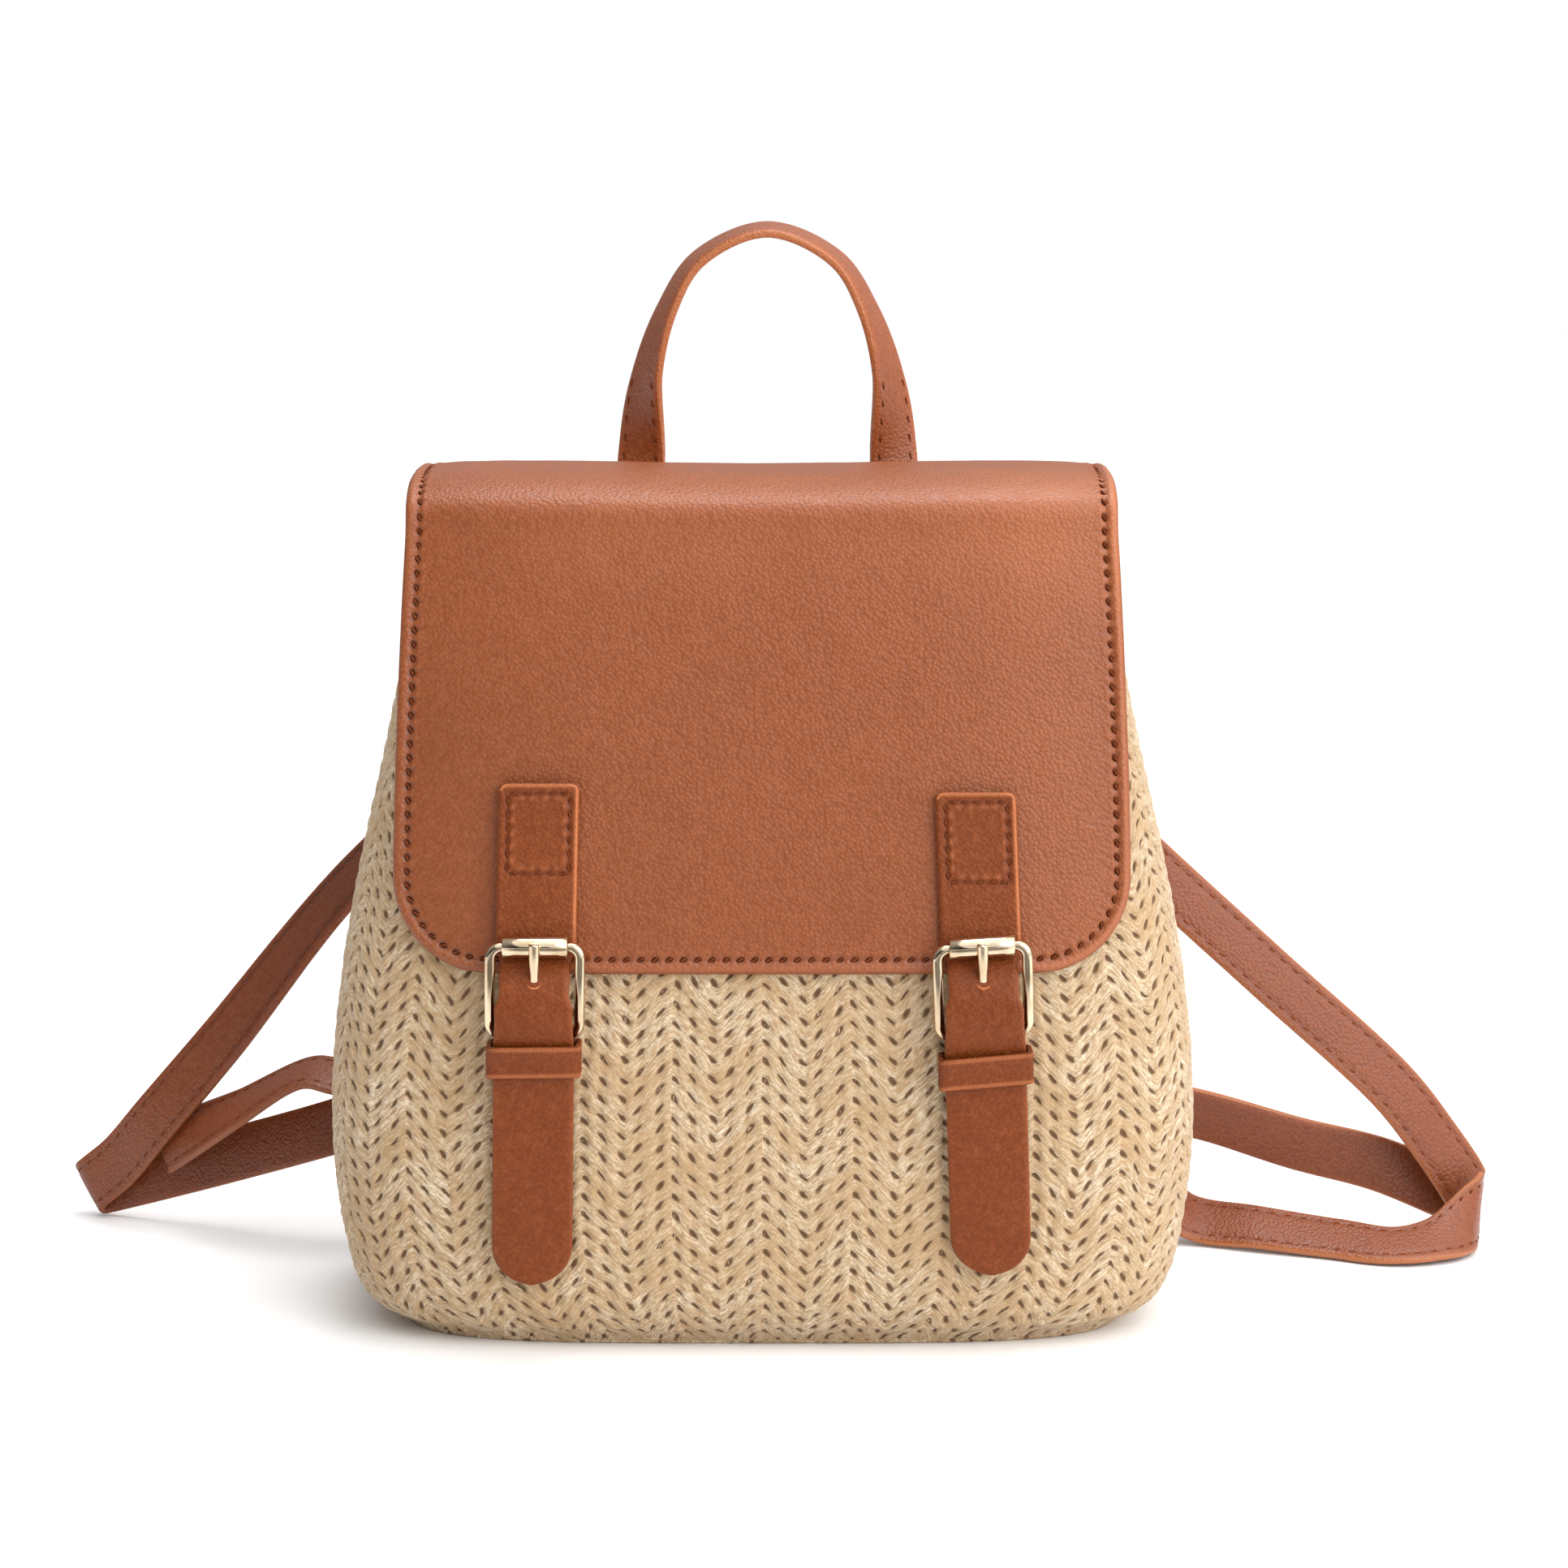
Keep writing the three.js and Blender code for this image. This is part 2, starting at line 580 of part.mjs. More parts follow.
// Round the ring's outer bar: the strap leaves in front
const ringY = SY + 2;
const round = RING_R + 0.75 + BELT_T / 2;
const about = (side, degrees, z) => {
  const a = (degrees * Math.PI) / 180;
  return [side * (RING_X + RING_HALF_X - round * Math.cos(a)), ringY + round * Math.sin(a), z, 0, 0, 1];
};
// A turn of the strap round a line: from its front side, over the far end, to its back side
const fold = (centre, line, heading, r, front) => {
  const f = new THREE.Vector3(...line).normalize();
  const e = new THREE.Vector3(...heading);
  e.addScaledVector(f, -f.dot(e)).normalize();
  const n = f.clone().cross(e).multiplyScalar(front);
  return [0, 45, 90, 135, 180].map((degrees) => {
    const a = (degrees * Math.PI) / 180;
    const p = new THREE.Vector3(...centre);
    p.addScaledVector(n, r * Math.cos(a));
    p.addScaledVector(e, r * Math.sin(a));
    p.addScaledVector(f, 0.3 * r * (1 - a));
    return [...p.toArray(), ...f.toArray()];
  });
};

strap(
  "shoulder_strap_left",
  [
    ...upper(-1),
    [-SX + 62, SY + 0.5, high(0.741), -0.7, 0.25, 0.66],
    [-SX + 30, SY + 6, high(0.6116), -0.58, 0.5, 0.62],
    [-SX - 3.4, SY + 12, high(0.4795), -0.42, 0.72, 0.52],
    [-SX - 43, SY + 15, high(0.2612), -0.5, 0.5, 0.7],
    [-SX - 65, SY + 19, 32.5, -0.5, 0.42, 0.75],
    [-SX - 77, SY + 25, 18, -0.5, 0.36, 0.78],
    ...fold([-SX - 85.2, SY + 31, 9.1], [-0.5, 0.33, 0.8], [-0.628, 0.24, -0.74], 1.75, 1),
    [-SX - 66, SY + 26.2, 13.8, -0.4, 0.33, 0.86],
    [-SX - 42.6, SY + 19, 21.5, -0.1, 0.25, 0.96],
    [-SX - 9.8, SY + 6.5, 33.4, 0, 0.28, 0.96],
    [-SX + 14, ringY + round + 0.6, 41.5, 0, 0, 1],
    about(-1, 90, RING_Z - 0.4),
    about(-1, 40, RING_Z),
    about(-1, -10, RING_Z),
    about(-1, -60, RING_Z + 0.3),
    about(-1, -95, RING_Z + 0.8),
    [-SX + 12, ringY - round - 1.6, 47.5, 0, 0.45, 0.89],
    [-SX - 8, SY - 1, 51, 0, 0.9, 0.4],
    [-SX - 16, SY + 1, 51.5, 0.1, 0.93, 0.32],
    [-SX - 38, SY + 6.5, 38.8, 0, 0.84, 0.5],
    [-SX - 54, SY + 15, 29, -0.15, 0.6, 0.78],
    [-SX - 62.5, SY + 20.2, 23.6, -0.3, 0.4, 0.86],
  ],
  BELT_W,
  BELT_T,
  6,
);

strap(
  "shoulder_strap_right",
  [
    ...upper(1),
    [SX - 62, SY + 0.5, high(0.7321), 0.72, 0.12, 0.68],
    [SX - 32, SY + 7, high(0.6161), 0.7, 0.2, 0.69],
    [SX - 3, SY + 10, high(0.4933), 0.66, 0.3, 0.7],
    [SX + 31, SY + 9, high(0.3554), 0.64, 0.32, 0.7],
    [SX + 68.5, SY + 8.5, 45.3, 0.64, 0.32, 0.7],
    [SX + 82, SY + 9.5, 28, 0.64, 0.3, 0.7],
    ...fold([SX + 89, SY + 14.5, 13.4], [0.6, 0.25, 0.76], [0.545, 0.05, -0.838], 4.3, -1),
    [SX + 66, SY + 16.5, 19.5, 0.35, 0.1, 0.93],
    [SX + 40, SY + 11, 27.4, 0.1, -0.15, 0.97],
    [SX + 9.8, SY + 8, 37.2, 0, -0.3, 0.95],
    [SX - 14, ringY + round + 0.6, 42, 0, 0, 1],
    about(1, 90, RING_Z - 0.4),
    about(1, 40, RING_Z),
    about(1, -10, RING_Z),
    about(1, -60, RING_Z - 0.3),
    about(1, -95, RING_Z - 0.8),
    [SX - 17, ringY - round - 1.2, 40.5, 0.1, 0.1, 0.98],
    [SX - 9, ringY - round - 2.6, 30, 0.55, 0.3, 0.78],
    [SX - 1.5, SY - 2.5, 16, 0.4, 0.5, 0.76],
    [SX + 8, SY + 0.5, 7.2, 0.08, 0.8, 0.6],
    [SX + 27, SY - 6.5, 6.1, 0.1, 0.86, 0.5],
    [SX + 48, SY - 14, 4.9, 0.1, 0.9, 0.42],
    [SX + 65, SY - 21, 4.6, 0.12, 0.92, 0.36],
    [SX + 77.5, SY - 18.5, 5.8, -0.1, 0.9, 0.42],
    [SX + 86.5, SY - 12, 8.3, -0.15, 0.72, 0.66],
    [SX + 92, SY - 3, 10, 0.05, 0.45, 0.88],
    [SX + 94, SY + 4.5, 11, 0.15, 0.3, 0.93],
  ],
  BELT_W,
  BELT_T,
  6,
);

// Patch over the straps' upper ends
const patchRows = [0, 0.25, 0.5, 0.75, 1].map((share) => {
  const z = BODY_H - 6 - PATCH_H * (1 - share);
  const columns = [-1, -0.77, -0.46, -0.15, 0.15, 0.46, 0.77, 1].map((part) => part * PATCH_HALF_W);
  return columns.map((x) => new THREE.Vector3(x, onFlap(x, z, 2 * GAP + BELT_T + 0.15), z));
});
skin("strap_patch", patchRows, PATCH_T);

// Lower rings and the leather tabs that hold them
for (const [side, name] of [[-1, "left"], [1, "right"]]) {
  const y = new THREE.Vector3(0, 1, 0);
  const rings = roundedLoop(RING_HALF_X, RING_HALF_Z, RING_CORNER, 30).map(([u, v, du, dv]) => {
    const centre = new THREE.Vector3(side * (RING_X + u), ringY, RING_Z + v);
    return circle(centre, RING_R, new THREE.Vector3(side * du, 0, dv), y);
  });
  loft(`strap_ring_${name}`, rings, true);

  const barX = RING_X - RING_HALF_X;
  const eyeR = RING_R + GAP;
  const endX = barX - RING_TAB_L;
  const sewn = wallY(endX, RING_Z + RING_TAB_H / 2) + GAP;
  const outline = new THREE.Shape();
  outline.moveTo(endX, sewn);
  for (let degrees = -130; degrees <= 130; degrees += 20) {
    const a = (degrees * Math.PI) / 180;
    const r = eyeR + RING_TAB_T;
    outline.lineTo(barX + r * Math.cos(a), ringY + r * Math.sin(a));
  }
  outline.lineTo(barX - 9, sewn + 2 * RING_TAB_T);
  outline.lineTo(endX, sewn + 2 * RING_TAB_T);
  outline.holes.push(eyeHole(barX, ringY, eyeR));
  const slab = new THREE.ExtrudeGeometry(outline, { depth: RING_TAB_H, bevelEnabled: false });
  const at = slab.getAttribute("position");
  for (let i = 0; i < at.count; i += 1) {
    at.setXYZ(i, side * at.getX(i), at.getY(i), RING_Z - RING_TAB_H / 2 + at.getZ(i));
  }
  addSolid(`ring_tab_${name}`, manifoldOf(new THREE.Mesh(side < 0 ? flipped(slab) : slab)));
}

// Turns every face round, for a mirrored shape
function flipped(geometry) {
  const at = geometry.getAttribute("position");
  for (let i = 0; i < at.count; i += 3) {
    const [b, c] = [1, 2].map((k) => [at.getX(i + k), at.getY(i + k), at.getZ(i + k)]);
    at.setXYZ(i + 1, ...c);
    at.setXYZ(i + 2, ...b);
  }
  return geometry;
}

export default bag;
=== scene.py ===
# Woven straw backpack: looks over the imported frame. Sizes are in millimetres until a mesh is made.
from math import atan, atan2, cos, hypot, pi, radians, sin, tan

import bpy
import numpy as np
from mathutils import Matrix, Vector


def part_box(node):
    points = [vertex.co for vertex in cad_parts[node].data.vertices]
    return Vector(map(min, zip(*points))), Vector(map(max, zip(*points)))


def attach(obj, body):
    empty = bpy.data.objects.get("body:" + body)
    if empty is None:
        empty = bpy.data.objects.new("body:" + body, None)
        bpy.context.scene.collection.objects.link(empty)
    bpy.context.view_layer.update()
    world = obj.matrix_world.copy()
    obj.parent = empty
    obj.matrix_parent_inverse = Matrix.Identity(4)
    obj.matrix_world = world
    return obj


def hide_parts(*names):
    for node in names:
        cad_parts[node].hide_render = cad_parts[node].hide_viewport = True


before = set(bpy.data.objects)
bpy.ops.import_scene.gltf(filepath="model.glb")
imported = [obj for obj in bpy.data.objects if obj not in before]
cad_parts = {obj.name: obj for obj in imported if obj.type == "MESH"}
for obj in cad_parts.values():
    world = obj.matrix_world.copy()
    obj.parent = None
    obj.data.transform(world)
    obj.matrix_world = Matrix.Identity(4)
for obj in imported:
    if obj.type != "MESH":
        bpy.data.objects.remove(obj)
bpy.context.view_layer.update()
MM = 0.001


def size_of(node, axis):
    """Size of a frame piece along an axis, in millimetres."""
    low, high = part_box(node)
    return (high[axis] - low[axis]) / MM


# Sizes that follow the frame
BODY_W = size_of("woven_body", 0)
BODY_D = size_of("woven_body", 1)
BODY_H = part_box("woven_body")[1][2] / MM
BASE_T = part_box("woven_base")[1][2] / MM
BASE_INSET = 2.2  # base panel to the edge of the frame's one
FLAP_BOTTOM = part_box("flap")[0][2] / MM

# Sizes that the frame's pieces are built to
WALL = 2.0
GAP = 0.3
FLAP_T = 2.0
FLAP_HALF_W = 0.4104 * BODY_W
FLAP_BACK = 0.795 * BODY_H
FLAP_RISE = 11.5
FLAP_CORNER = 25.0
FLAP_GAP = 0.5
FLAP_BOW = BODY_W / 2 + 5
CROWN_SAG = 0.9
CROWN_ROUND = 2.6  # how far the crown falls at its ends
SOFT = 150  # steps of 0.1 mm over which the flap's fold is eased
STRAP_T = 2.0
TONGUE_W = 21.6
NECK_W = 18.6
HINGE_Z = FLAP_BOTTOM - 15.3
BAR_Z = HINGE_Z + 24
FRAME_W = 27.0
RAIL_W = 3.2
RAIL_T = 2.6
RAIL_BOW = 1.1
BAR_R = 1.2
ROLLER_R = 2.9
ROLLER_BORE = 1.7
ROLLER_L = 17.4
FRAME_CORNER = 3.0
PRONG_R = 1.25
TAB_T = 1.0
TAB_W = 17.0
TAB_BOTTOM = HINGE_Z - 26
KEEPER_T = 1.3
KEEPER_TOP = HINGE_Z - 2
KEEPER_H = 8.9
KEEPER_ROOM = 0.5
CLOSURES = {
    "left": {"x": (-0.4925, -0.517), "z": (66.3, -69.2), "tilt": 0, "drop": 0, "keeper": 0.5},
    "right": {"x": (0.473, 0.515), "z": (64, -66.4), "tilt": 3.5, "drop": 2.6, "keeper": 5},
}
HANDLE_W = 14.0
HANDLE_T = 2.6
HANDLE_X = 36.6
HANDLE_MID = 1.2
HANDLE_FOOT = 16.0
BELT_W = 16.5
BELT_T = 2.4
PATCH_T = 1.6
PATCH_HALF_W = 26.0
PATCH_H = 20.0
PATCH_DROP = 6.0  # patch's upper edge below the rim
RING_R = 1.2
RING_Z = 44.0
RING_X = BODY_W / 2 - 30
RING_HALF_X = 4.5
RING_HALF_Z = 12.5
RING_CORNER = 2.5
RING_TAB_T = 1.4
RING_TAB_H = 15.0
RING_TAB_L = 24.0

# Straw braid
STRIPS = 26
STRIP_W = 25.4
PITCH = 5.3
SLOPE = 1.0
SLITS = (0.9, 5.8, 11.6, 16.0, 21.9)
TURN = 0.7  # how gently a strand turns where strips meet
BRAID_STEP = 0.95
BRAID_SINK = 0.8  # the braid's grooves below the wall's face

# Sewing
FLAP_SEAM = 3.9
FLAP_PITCH = 3.8
BELT_SEAM = 2.6
BELT_PITCH = 4.8
HANDLE_SEAM = 2.3
PATCH_SEAM = 2.4
PATCH_PITCH = 3.6
BOX_PITCH = 3.25

# Height, half width and half depth as shares of the body's
PROFILE = np.array([
    (0.0116, 0.85, 0.82),
    (0.0262, 0.905, 0.885),
    (0.0568, 0.947, 0.95),
    (0.12, 0.978, 0.986),
    (0.2271, 1.0, 1.0),
    (0.3275, 0.996, 0.991),
    (0.4236, 0.9775, 0.9655),
    (0.524, 0.948, 0.926),
    (0.6201, 0.91, 0.876),
    (0.7205, 0.867, 0.819),
    (0.8297, 0.825, 0.75),
    (0.9389, 0.7875, 0.681),
    (1.0, 0.767, 0.6414),
])


def look_up(column, z):
    share = np.clip(np.asarray(z, float) / BODY_H, PROFILE[0, 0], 1)
    i = np.searchsorted(PROFILE[1:-1, 0], share)
    before, after = np.maximum(i - 1, 0), np.minimum(i + 2, len(PROFILE) - 1)
    place, value = PROFILE[:, 0], PROFILE[:, column]
    span = place[i + 1] - place[i]
    t = (share - place[i]) / span
    slope_a = (value[i + 1] - value[before]) / (place[i + 1] - place[before]) * span
    slope_b = (value[after] - value[i]) / (place[after] - place[i]) * span
    h = t * t * (3 - 2 * t)
    return value[i] * (1 - h) + value[i + 1] * h + t * (1 - t) * (slope_a * (1 - t) - slope_b * t)


def half_width(z):
    return BODY_W / 2 * look_up(1, z)


def half_depth(z):
    return BODY_D / 2 * look_up(2, z)


def squared(x, half):
    return np.maximum(1 - (np.abs(x) / half) ** 4, 0) ** 0.25


def wall_y(x, z):
    return half_depth(z) * squared(x, half_width(z))


def flap_y(x, z):
    return (half_depth(z) + FLAP_GAP) * squared(x, FLAP_BOW)


def on_flap(x, z, n):
    return flap_y(x, z) + FLAP_T + n


def unit(v):
    v = np.asarray(v, float)
    return v / np.maximum(np.linalg.norm(v, axis=-1, keepdims=True), 1e-9)


def bell(x, centre, width):
    return np.exp(-(((x - centre) / width) ** 2))


def lengths(points):
    """Length from the first point to each one."""
    return np.concatenate([[0], np.cumsum(np.linalg.norm(np.diff(points, axis=0), axis=1))])


def trace(at, run, values):
    """Rows of values at lengths along a run."""
    return np.stack([np.interp(at, run, column) for column in values.T], -1)


def circle(count):
    a = np.arange(count) / count * 2 * pi
    return np.cos(a), np.sin(a)


def arc(u, v, radius, degrees):
    """Points round a centre, one for each angle."""
    turns = [radians(angle) for angle in degrees]
    return [(u + radius * cos(b), v + radius * sin(b)) for b in turns]


def along_sides(corners, count):
    """Points along each side of a closed outline."""
    t = np.linspace(0, 1, count)
    for (u0, v0), (u1, v1) in zip(corners, corners[1:] + corners[:1]):
        yield u0 + (u1 - u0) * t, v0 + (v1 - v0) * t


def border(rows, columns):
    """Indices of the points round the edge of a grid."""
    whole = np.arange(rows * columns).reshape(rows, columns)
    return np.concatenate([whole[0], whole[1:, -1], whole[-1, -2::-1], whole[-2:0:-1, 0]])


def spline(points, t):
    """Points at shares t of a centripetal curve through the given ones."""
    points = np.asarray(points, float)
    last = len(points) - 1
    ends = np.vstack([2 * points[0] - points[1], points, 2 * points[-1] - points[-2]])
    t = np.atleast_1d(np.asarray(t, float)) * last
    i = np.clip(np.floor(t).astype(int), 0, last - 1)
    w = (t - i)[:, None]
    p0, p1, p2, p3 = ends[i], ends[i + 1], ends[i + 2], ends[i + 3]
    d1 = np.maximum(np.linalg.norm(p2 - p1, axis=1, keepdims=True) ** 0.5, 1e-4)
    d0 = np.maximum(np.linalg.norm(p1 - p0, axis=1, keepdims=True) ** 0.5, 1e-4)
    d2 = np.maximum(np.linalg.norm(p3 - p2, axis=1, keepdims=True) ** 0.5, 1e-4)
    m1 = ((p1 - p0) / d0 - (p2 - p0) / (d0 + d1) + (p2 - p1) / d1) * d1
    m2 = ((p2 - p1) / d1 - (p3 - p1) / (d1 + d2) + (p3 - p2) / d2) * d1
    return (
        p1 + m1 * w + (-3 * p1 + 3 * p2 - 2 * m1 - m2) * w**2 + (2 * p1 - 2 * p2 + m1 + m2) * w**3
    )


def noise(u, v, cell, seed, around=None):
    """Smooth random values from -1 to 1, a new one for each cell; u repeats after the length around."""
    grid = np.random.default_rng(seed).uniform(-1, 1, (97, 97))
    a, b = np.asarray(u) / cell, np.asarray(v) / cell
    i, j = np.floor(a).astype(int), np.floor(b).astype(int)
    f, g = a - i, b - j
    f, g = f * f * (3 - 2 * f), g * g * (3 - 2 * g)
    turns = max(int(round(around / cell)), 1) if around else 97
    row = lambda q: grid[i % turns % 97, q % 97] * (1 - f) + grid[(i + 1) % turns % 97, q % 97] * f
    return row(j) * (1 - g) + row(j + 1) * g


# Materials
def srgb(r, g, b):
    return tuple(((c / 255 + 0.055) / 1.055) ** 2.4 if c > 10 else c / 255 / 12.92 for c in (r, g, b)) + (1,)


class Nodes:
    """Short calls for the nodes of a material or a world."""

    def __init__(self, name, owner=None, shader="Principled BSDF"):
        self.material = owner or bpy.data.materials.new(name)
        self.material.use_nodes = True
        self.tree = self.material.node_tree
        self.shader = self.tree.nodes[shader]

    def put(self, socket, value):
        if isinstance(value, bpy.types.NodeSocket):
            self.tree.links.new(value, socket)
        else:
            socket.default_value = value

    def node(self, kind, out=0, inputs=None, **settings):
        made = self.tree.nodes.new(kind)
        for key, value in settings.items():
            setattr(made, key, value)
        for key, value in (inputs or {}).items():
            self.put(made.inputs[key], value)
        return made.outputs[out]

    def math(self, operation, a, b=0.0, c=0.0):
        return self.node("ShaderNodeMath", inputs={0: a, 1: b, 2: c}, operation=operation)

    def mix(self, share, a, b):
        return self.node("ShaderNodeMix", 2, {0: share, 6: a, 7: b}, data_type="RGBA")

    def split(self, vector):
        made = self.tree.nodes.new("ShaderNodeSeparateXYZ")
        self.put(made.inputs[0], vector)
        return made.outputs

    def ramp(self, value, low, high, to=(0.0, 1.0), kind="SMOOTHSTEP"):
        ends = {0: value, 1: low, 2: high, 3: to[0], 4: to[1]}
        return self.node("ShaderNodeMapRange", inputs=ends, interpolation_type=kind)

    def noise(self, vector, scale, detail, rough=0.5):
        inputs = {"Vector": vector, "Scale": scale, "Detail": detail, "Roughness": rough}
        return self.node("ShaderNodeTexNoise", inputs=inputs)

    def set(self, **values):
        for key, value in values.items():
            self.put(self.shader.inputs[key.replace("_", " ")], value)
        return self.material

    def bump(self, height, distance, strength):
        inputs = {"Height": height, "Distance": distance, "Strength": strength}
        self.put(self.shader.inputs["Normal"], self.node("ShaderNodeBump", inputs=inputs))


def straw_material():
    n = Nodes("straw_braid")
    calc = n.math
    uv = n.node("ShaderNodeUVMap", uv_map="flat")
    u, v = (calc("MULTIPLY", part, 1 / MM) for part in n.split(uv)[:2])
    share = calc("DIVIDE", u, STRIP_W)
    x = calc("MULTIPLY", calc("FRACT", share), STRIP_W)
    sharp = calc("MINIMUM", x, calc("SUBTRACT", STRIP_W, x))
    eased = calc("SQRT", calc("MULTIPLY_ADD", sharp, sharp, TURN))
    other = calc("SUBTRACT", STRIP_W / 2, eased)
    tri = calc("SUBTRACT", STRIP_W / 2, calc("SQRT", calc("MULTIPLY_ADD", other, other, TURN)))
    side = calc("FLOOR", calc("MULTIPLY", share, 2.0))
    q = calc("ADD", v, calc("MULTIPLY", tri, SLOPE))
    strand = calc("DIVIDE", q, PITCH)
    offset = calc("SUBTRACT", calc("FRACT", calc("ADD", strand, 0.5)), 0.5)
    across = calc("ABSOLUTE", calc("MULTIPLY", offset, PITCH * cos(atan(SLOPE))))
    along = calc("SUBTRACT", tri, v)
    # Fine straw along each strand
    cell = n.node("ShaderNodeCombineXYZ", inputs={0: q, 1: calc("MULTIPLY", along, 0.12), 2: side})
    fibres = n.noise(cell, 1.9, 3.0, 0.7)
    coarse = n.noise(cell, 0.7, 2.0, 0.5)
    grit = n.noise(uv, 850.0, 2.0, 0.6)
    index = calc("FLOOR", calc("ADD", strand, 0.5))
    key = n.node("ShaderNodeCombineXYZ", inputs={0: index, 1: side, 2: 3.0})
    tint = n.node("ShaderNodeTexWhiteNoise", inputs={"Vector": key})
    patch = n.noise(uv, 45.0, 2.0)
    # Slits where neighbouring strands part; their dark colour below is painted shade
    slit = 0.0
    uneven = n.noise(uv, 260.0, 1.0)
    width = n.ramp(uneven, 0.35, 0.65, (0.32, 0.72))
    for centre in SLITS:
        away = calc("DIVIDE", calc("SUBTRACT", x, centre), 1.15)
        near = calc("DIVIDE", across, width)
        far = calc("ADD", calc("MULTIPLY", away, away), calc("MULTIPLY", near, near))
        slit = calc("MAXIMUM", slit, n.ramp(far, 1.7, 0.2))
    # Painted shade: darker in the grooves between strands and darkest in the slits
    groove = n.ramp(across, 0.8, 0.0)
    pale = n.mix(n.ramp(tint, 0.0, 1.0), srgb(206, 182, 148), srgb(224, 208, 180))
    fibrous = n.mix(n.ramp(fibres, 0.38, 0.6), srgb(166, 134, 96), pale)
    gritty = n.mix(n.ramp(grit, 0.45, 0.62, (0.0, 0.4)), fibrous, srgb(162, 128, 88))
    warm = n.mix(n.ramp(coarse, 0.45, 0.75, (0.0, 0.5)), gritty, srgb(186, 150, 108))
    patchy = n.mix(n.ramp(patch, 0.38, 0.7, (0.0, 0.5)), warm, srgb(178, 142, 98))
    seam = n.mix(calc("MULTIPLY", groove, 0.22), patchy, srgb(136, 102, 64))
    colour = n.mix(slit, seam, srgb(104, 70, 38))
    height = calc("ADD", calc("MULTIPLY", fibres, 0.7), calc("MULTIPLY", slit, -0.8))
    height = calc("ADD", height, calc("MULTIPLY", grit, 0.35))
    n.bump(height, 0.0007, 0.9)
    return n.set(Base_Color=colour, Roughness=0.6, Specular_IOR_Level=0.35, Sheen_Weight=0.15)


def leather_material(name, dark, mid, light, roughness=0.42, shine=0.5):
    """Pebbled leather. The tone attribute darkens below 0 and lightens above it; it carries painted
    highlights and painted shade besides lighter cut edges.
    """
    n = Nodes(name)
    dark, mid, light = (srgb(*colour) for colour in (dark, mid, light))
    place = n.node("ShaderNodeTexCoord", out=3)
    tone = n.node("ShaderNodeAttribute", out=2, attribute_name="tone")
    clouds = n.noise(place, 28.0, 4.0, 0.6)
    specks = n.noise(place, 420.0, 3.0, 0.6)
    turned = n.node("ShaderNodeMapping", inputs={"Vector": place, "Rotation": (0.5, 0.7, 0.6)})
    cells = n.node(
        "ShaderNodeTexVoronoi", inputs={"Vector": turned, "Scale": 980.0, "Randomness": 0.8},
    )
    creases = n.noise(turned, 700.0, 2.0, 0.5)
    base = n.mix(n.ramp(clouds, 0.25, 0.75, (0.78, 1.0)), dark, mid)
    base = n.mix(n.ramp(specks, 0.4, 0.8, (0.0, 0.12)), base, light)
    base = n.mix(n.ramp(cells, 0.3, 0.75, (0.0, 0.35)), base, dark)
    base = n.mix(n.ramp(tone, 0.0, 1.0, (0.0, 0.75)), base, light)
    base = n.mix(n.ramp(tone, 0.0, -1.0, (0.0, 0.9)), base, srgb(60, 24, 9))
    grain = n.math("ADD", n.math("MULTIPLY", cells, -0.9), n.math("MULTIPLY", creases, 0.2))
    n.bump(grain, 0.0004, 0.55)
    rough = n.ramp(specks, 0.2, 0.8, (roughness - 0.06, roughness + 0.1))
    return n.set(Base_Color=base, Roughness=rough, Specular_IOR_Level=shine)


def gold_material():
    n = Nodes("pale_gold")
    place = n.node("ShaderNodeTexCoord", out=3)
    clouds = n.noise(place, 160.0, 3.0)
    scratches = n.noise(place, 1400.0, 2.0)
    colour = n.mix(n.ramp(clouds, 0.3, 0.7), srgb(200, 178, 146), srgb(222, 204, 176))
    rough = n.ramp(scratches, 0.3, 0.7, (0.08, 0.15))
    n.bump(scratches, 0.00002, 0.4)
    return n.set(Base_Color=colour, Metallic=1.0, Roughness=rough)


def thread_material(name, colour):
    n = Nodes(name)
    place = n.node("ShaderNodeTexCoord", out=3)
    twist = n.noise(place, 1600.0, 2.0)
    shade = n.mix(n.ramp(twist, 0.35, 0.65, (0.0, 0.5)), colour, srgb(40, 16, 8))
    n.bump(twist, 0.0001, 0.5)
    return n.set(Base_Color=shade, Roughness=0.8, Specular_IOR_Level=0.1)


STRAW = straw_material()
LEATHER = leather_material("leather", (102, 46, 12), (140, 70, 25), (190, 114, 70))
BELT_LEATHER = leather_material("belt_leather", (90, 39, 9), (129, 61, 23), (182, 111, 64), 0.4)
DARK_LEATHER = leather_material("closing_leather", (84, 34, 6), (120, 55, 16), (202, 122, 76), 0.46, 0.22)
HANDLE_LEATHER = leather_material("handle_leather", (117, 54, 19), (159, 83, 40), (207, 133, 85), 0.38)
GOLD = gold_material()
THREAD = thread_material("thread", srgb(124, 60, 28))
# Dark capsules under the stitches: painted shade where the thread goes into the leather
HOLE_SHADE = thread_material("stitch_hole_shade", srgb(62, 25, 9))


# Meshes
def piece(name, points, faces, material, replaced=(), uv=None, tone=None):
    mesh = bpy.data.meshes.new(name)
    mesh.from_pydata((np.asarray(points, float) * MM).tolist(), [], np.asarray(faces).tolist())
    mesh.materials.append(material)
    mesh.polygons.foreach_set("use_smooth", [True] * len(mesh.polygons))
    if uv is not None:
        corners = np.empty(len(mesh.loops), dtype=np.int32)
        mesh.loops.foreach_get("vertex_index", corners)
        layer = mesh.uv_layers.new(name="flat")
        layer.data.foreach_set("uv", (np.asarray(uv)[corners] * MM).astype(np.float32).ravel())
    if tone is not None:
        layer = mesh.attributes.new("tone", "FLOAT", "POINT")
        layer.data.foreach_set("value", np.asarray(tone, np.float32).ravel())
    mesh.update()
    made = bpy.data.objects.new(name, mesh)
    bpy.context.scene.collection.objects.link(made)
    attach(made, "root")
    if replaced:
        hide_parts(*replaced)
    return made


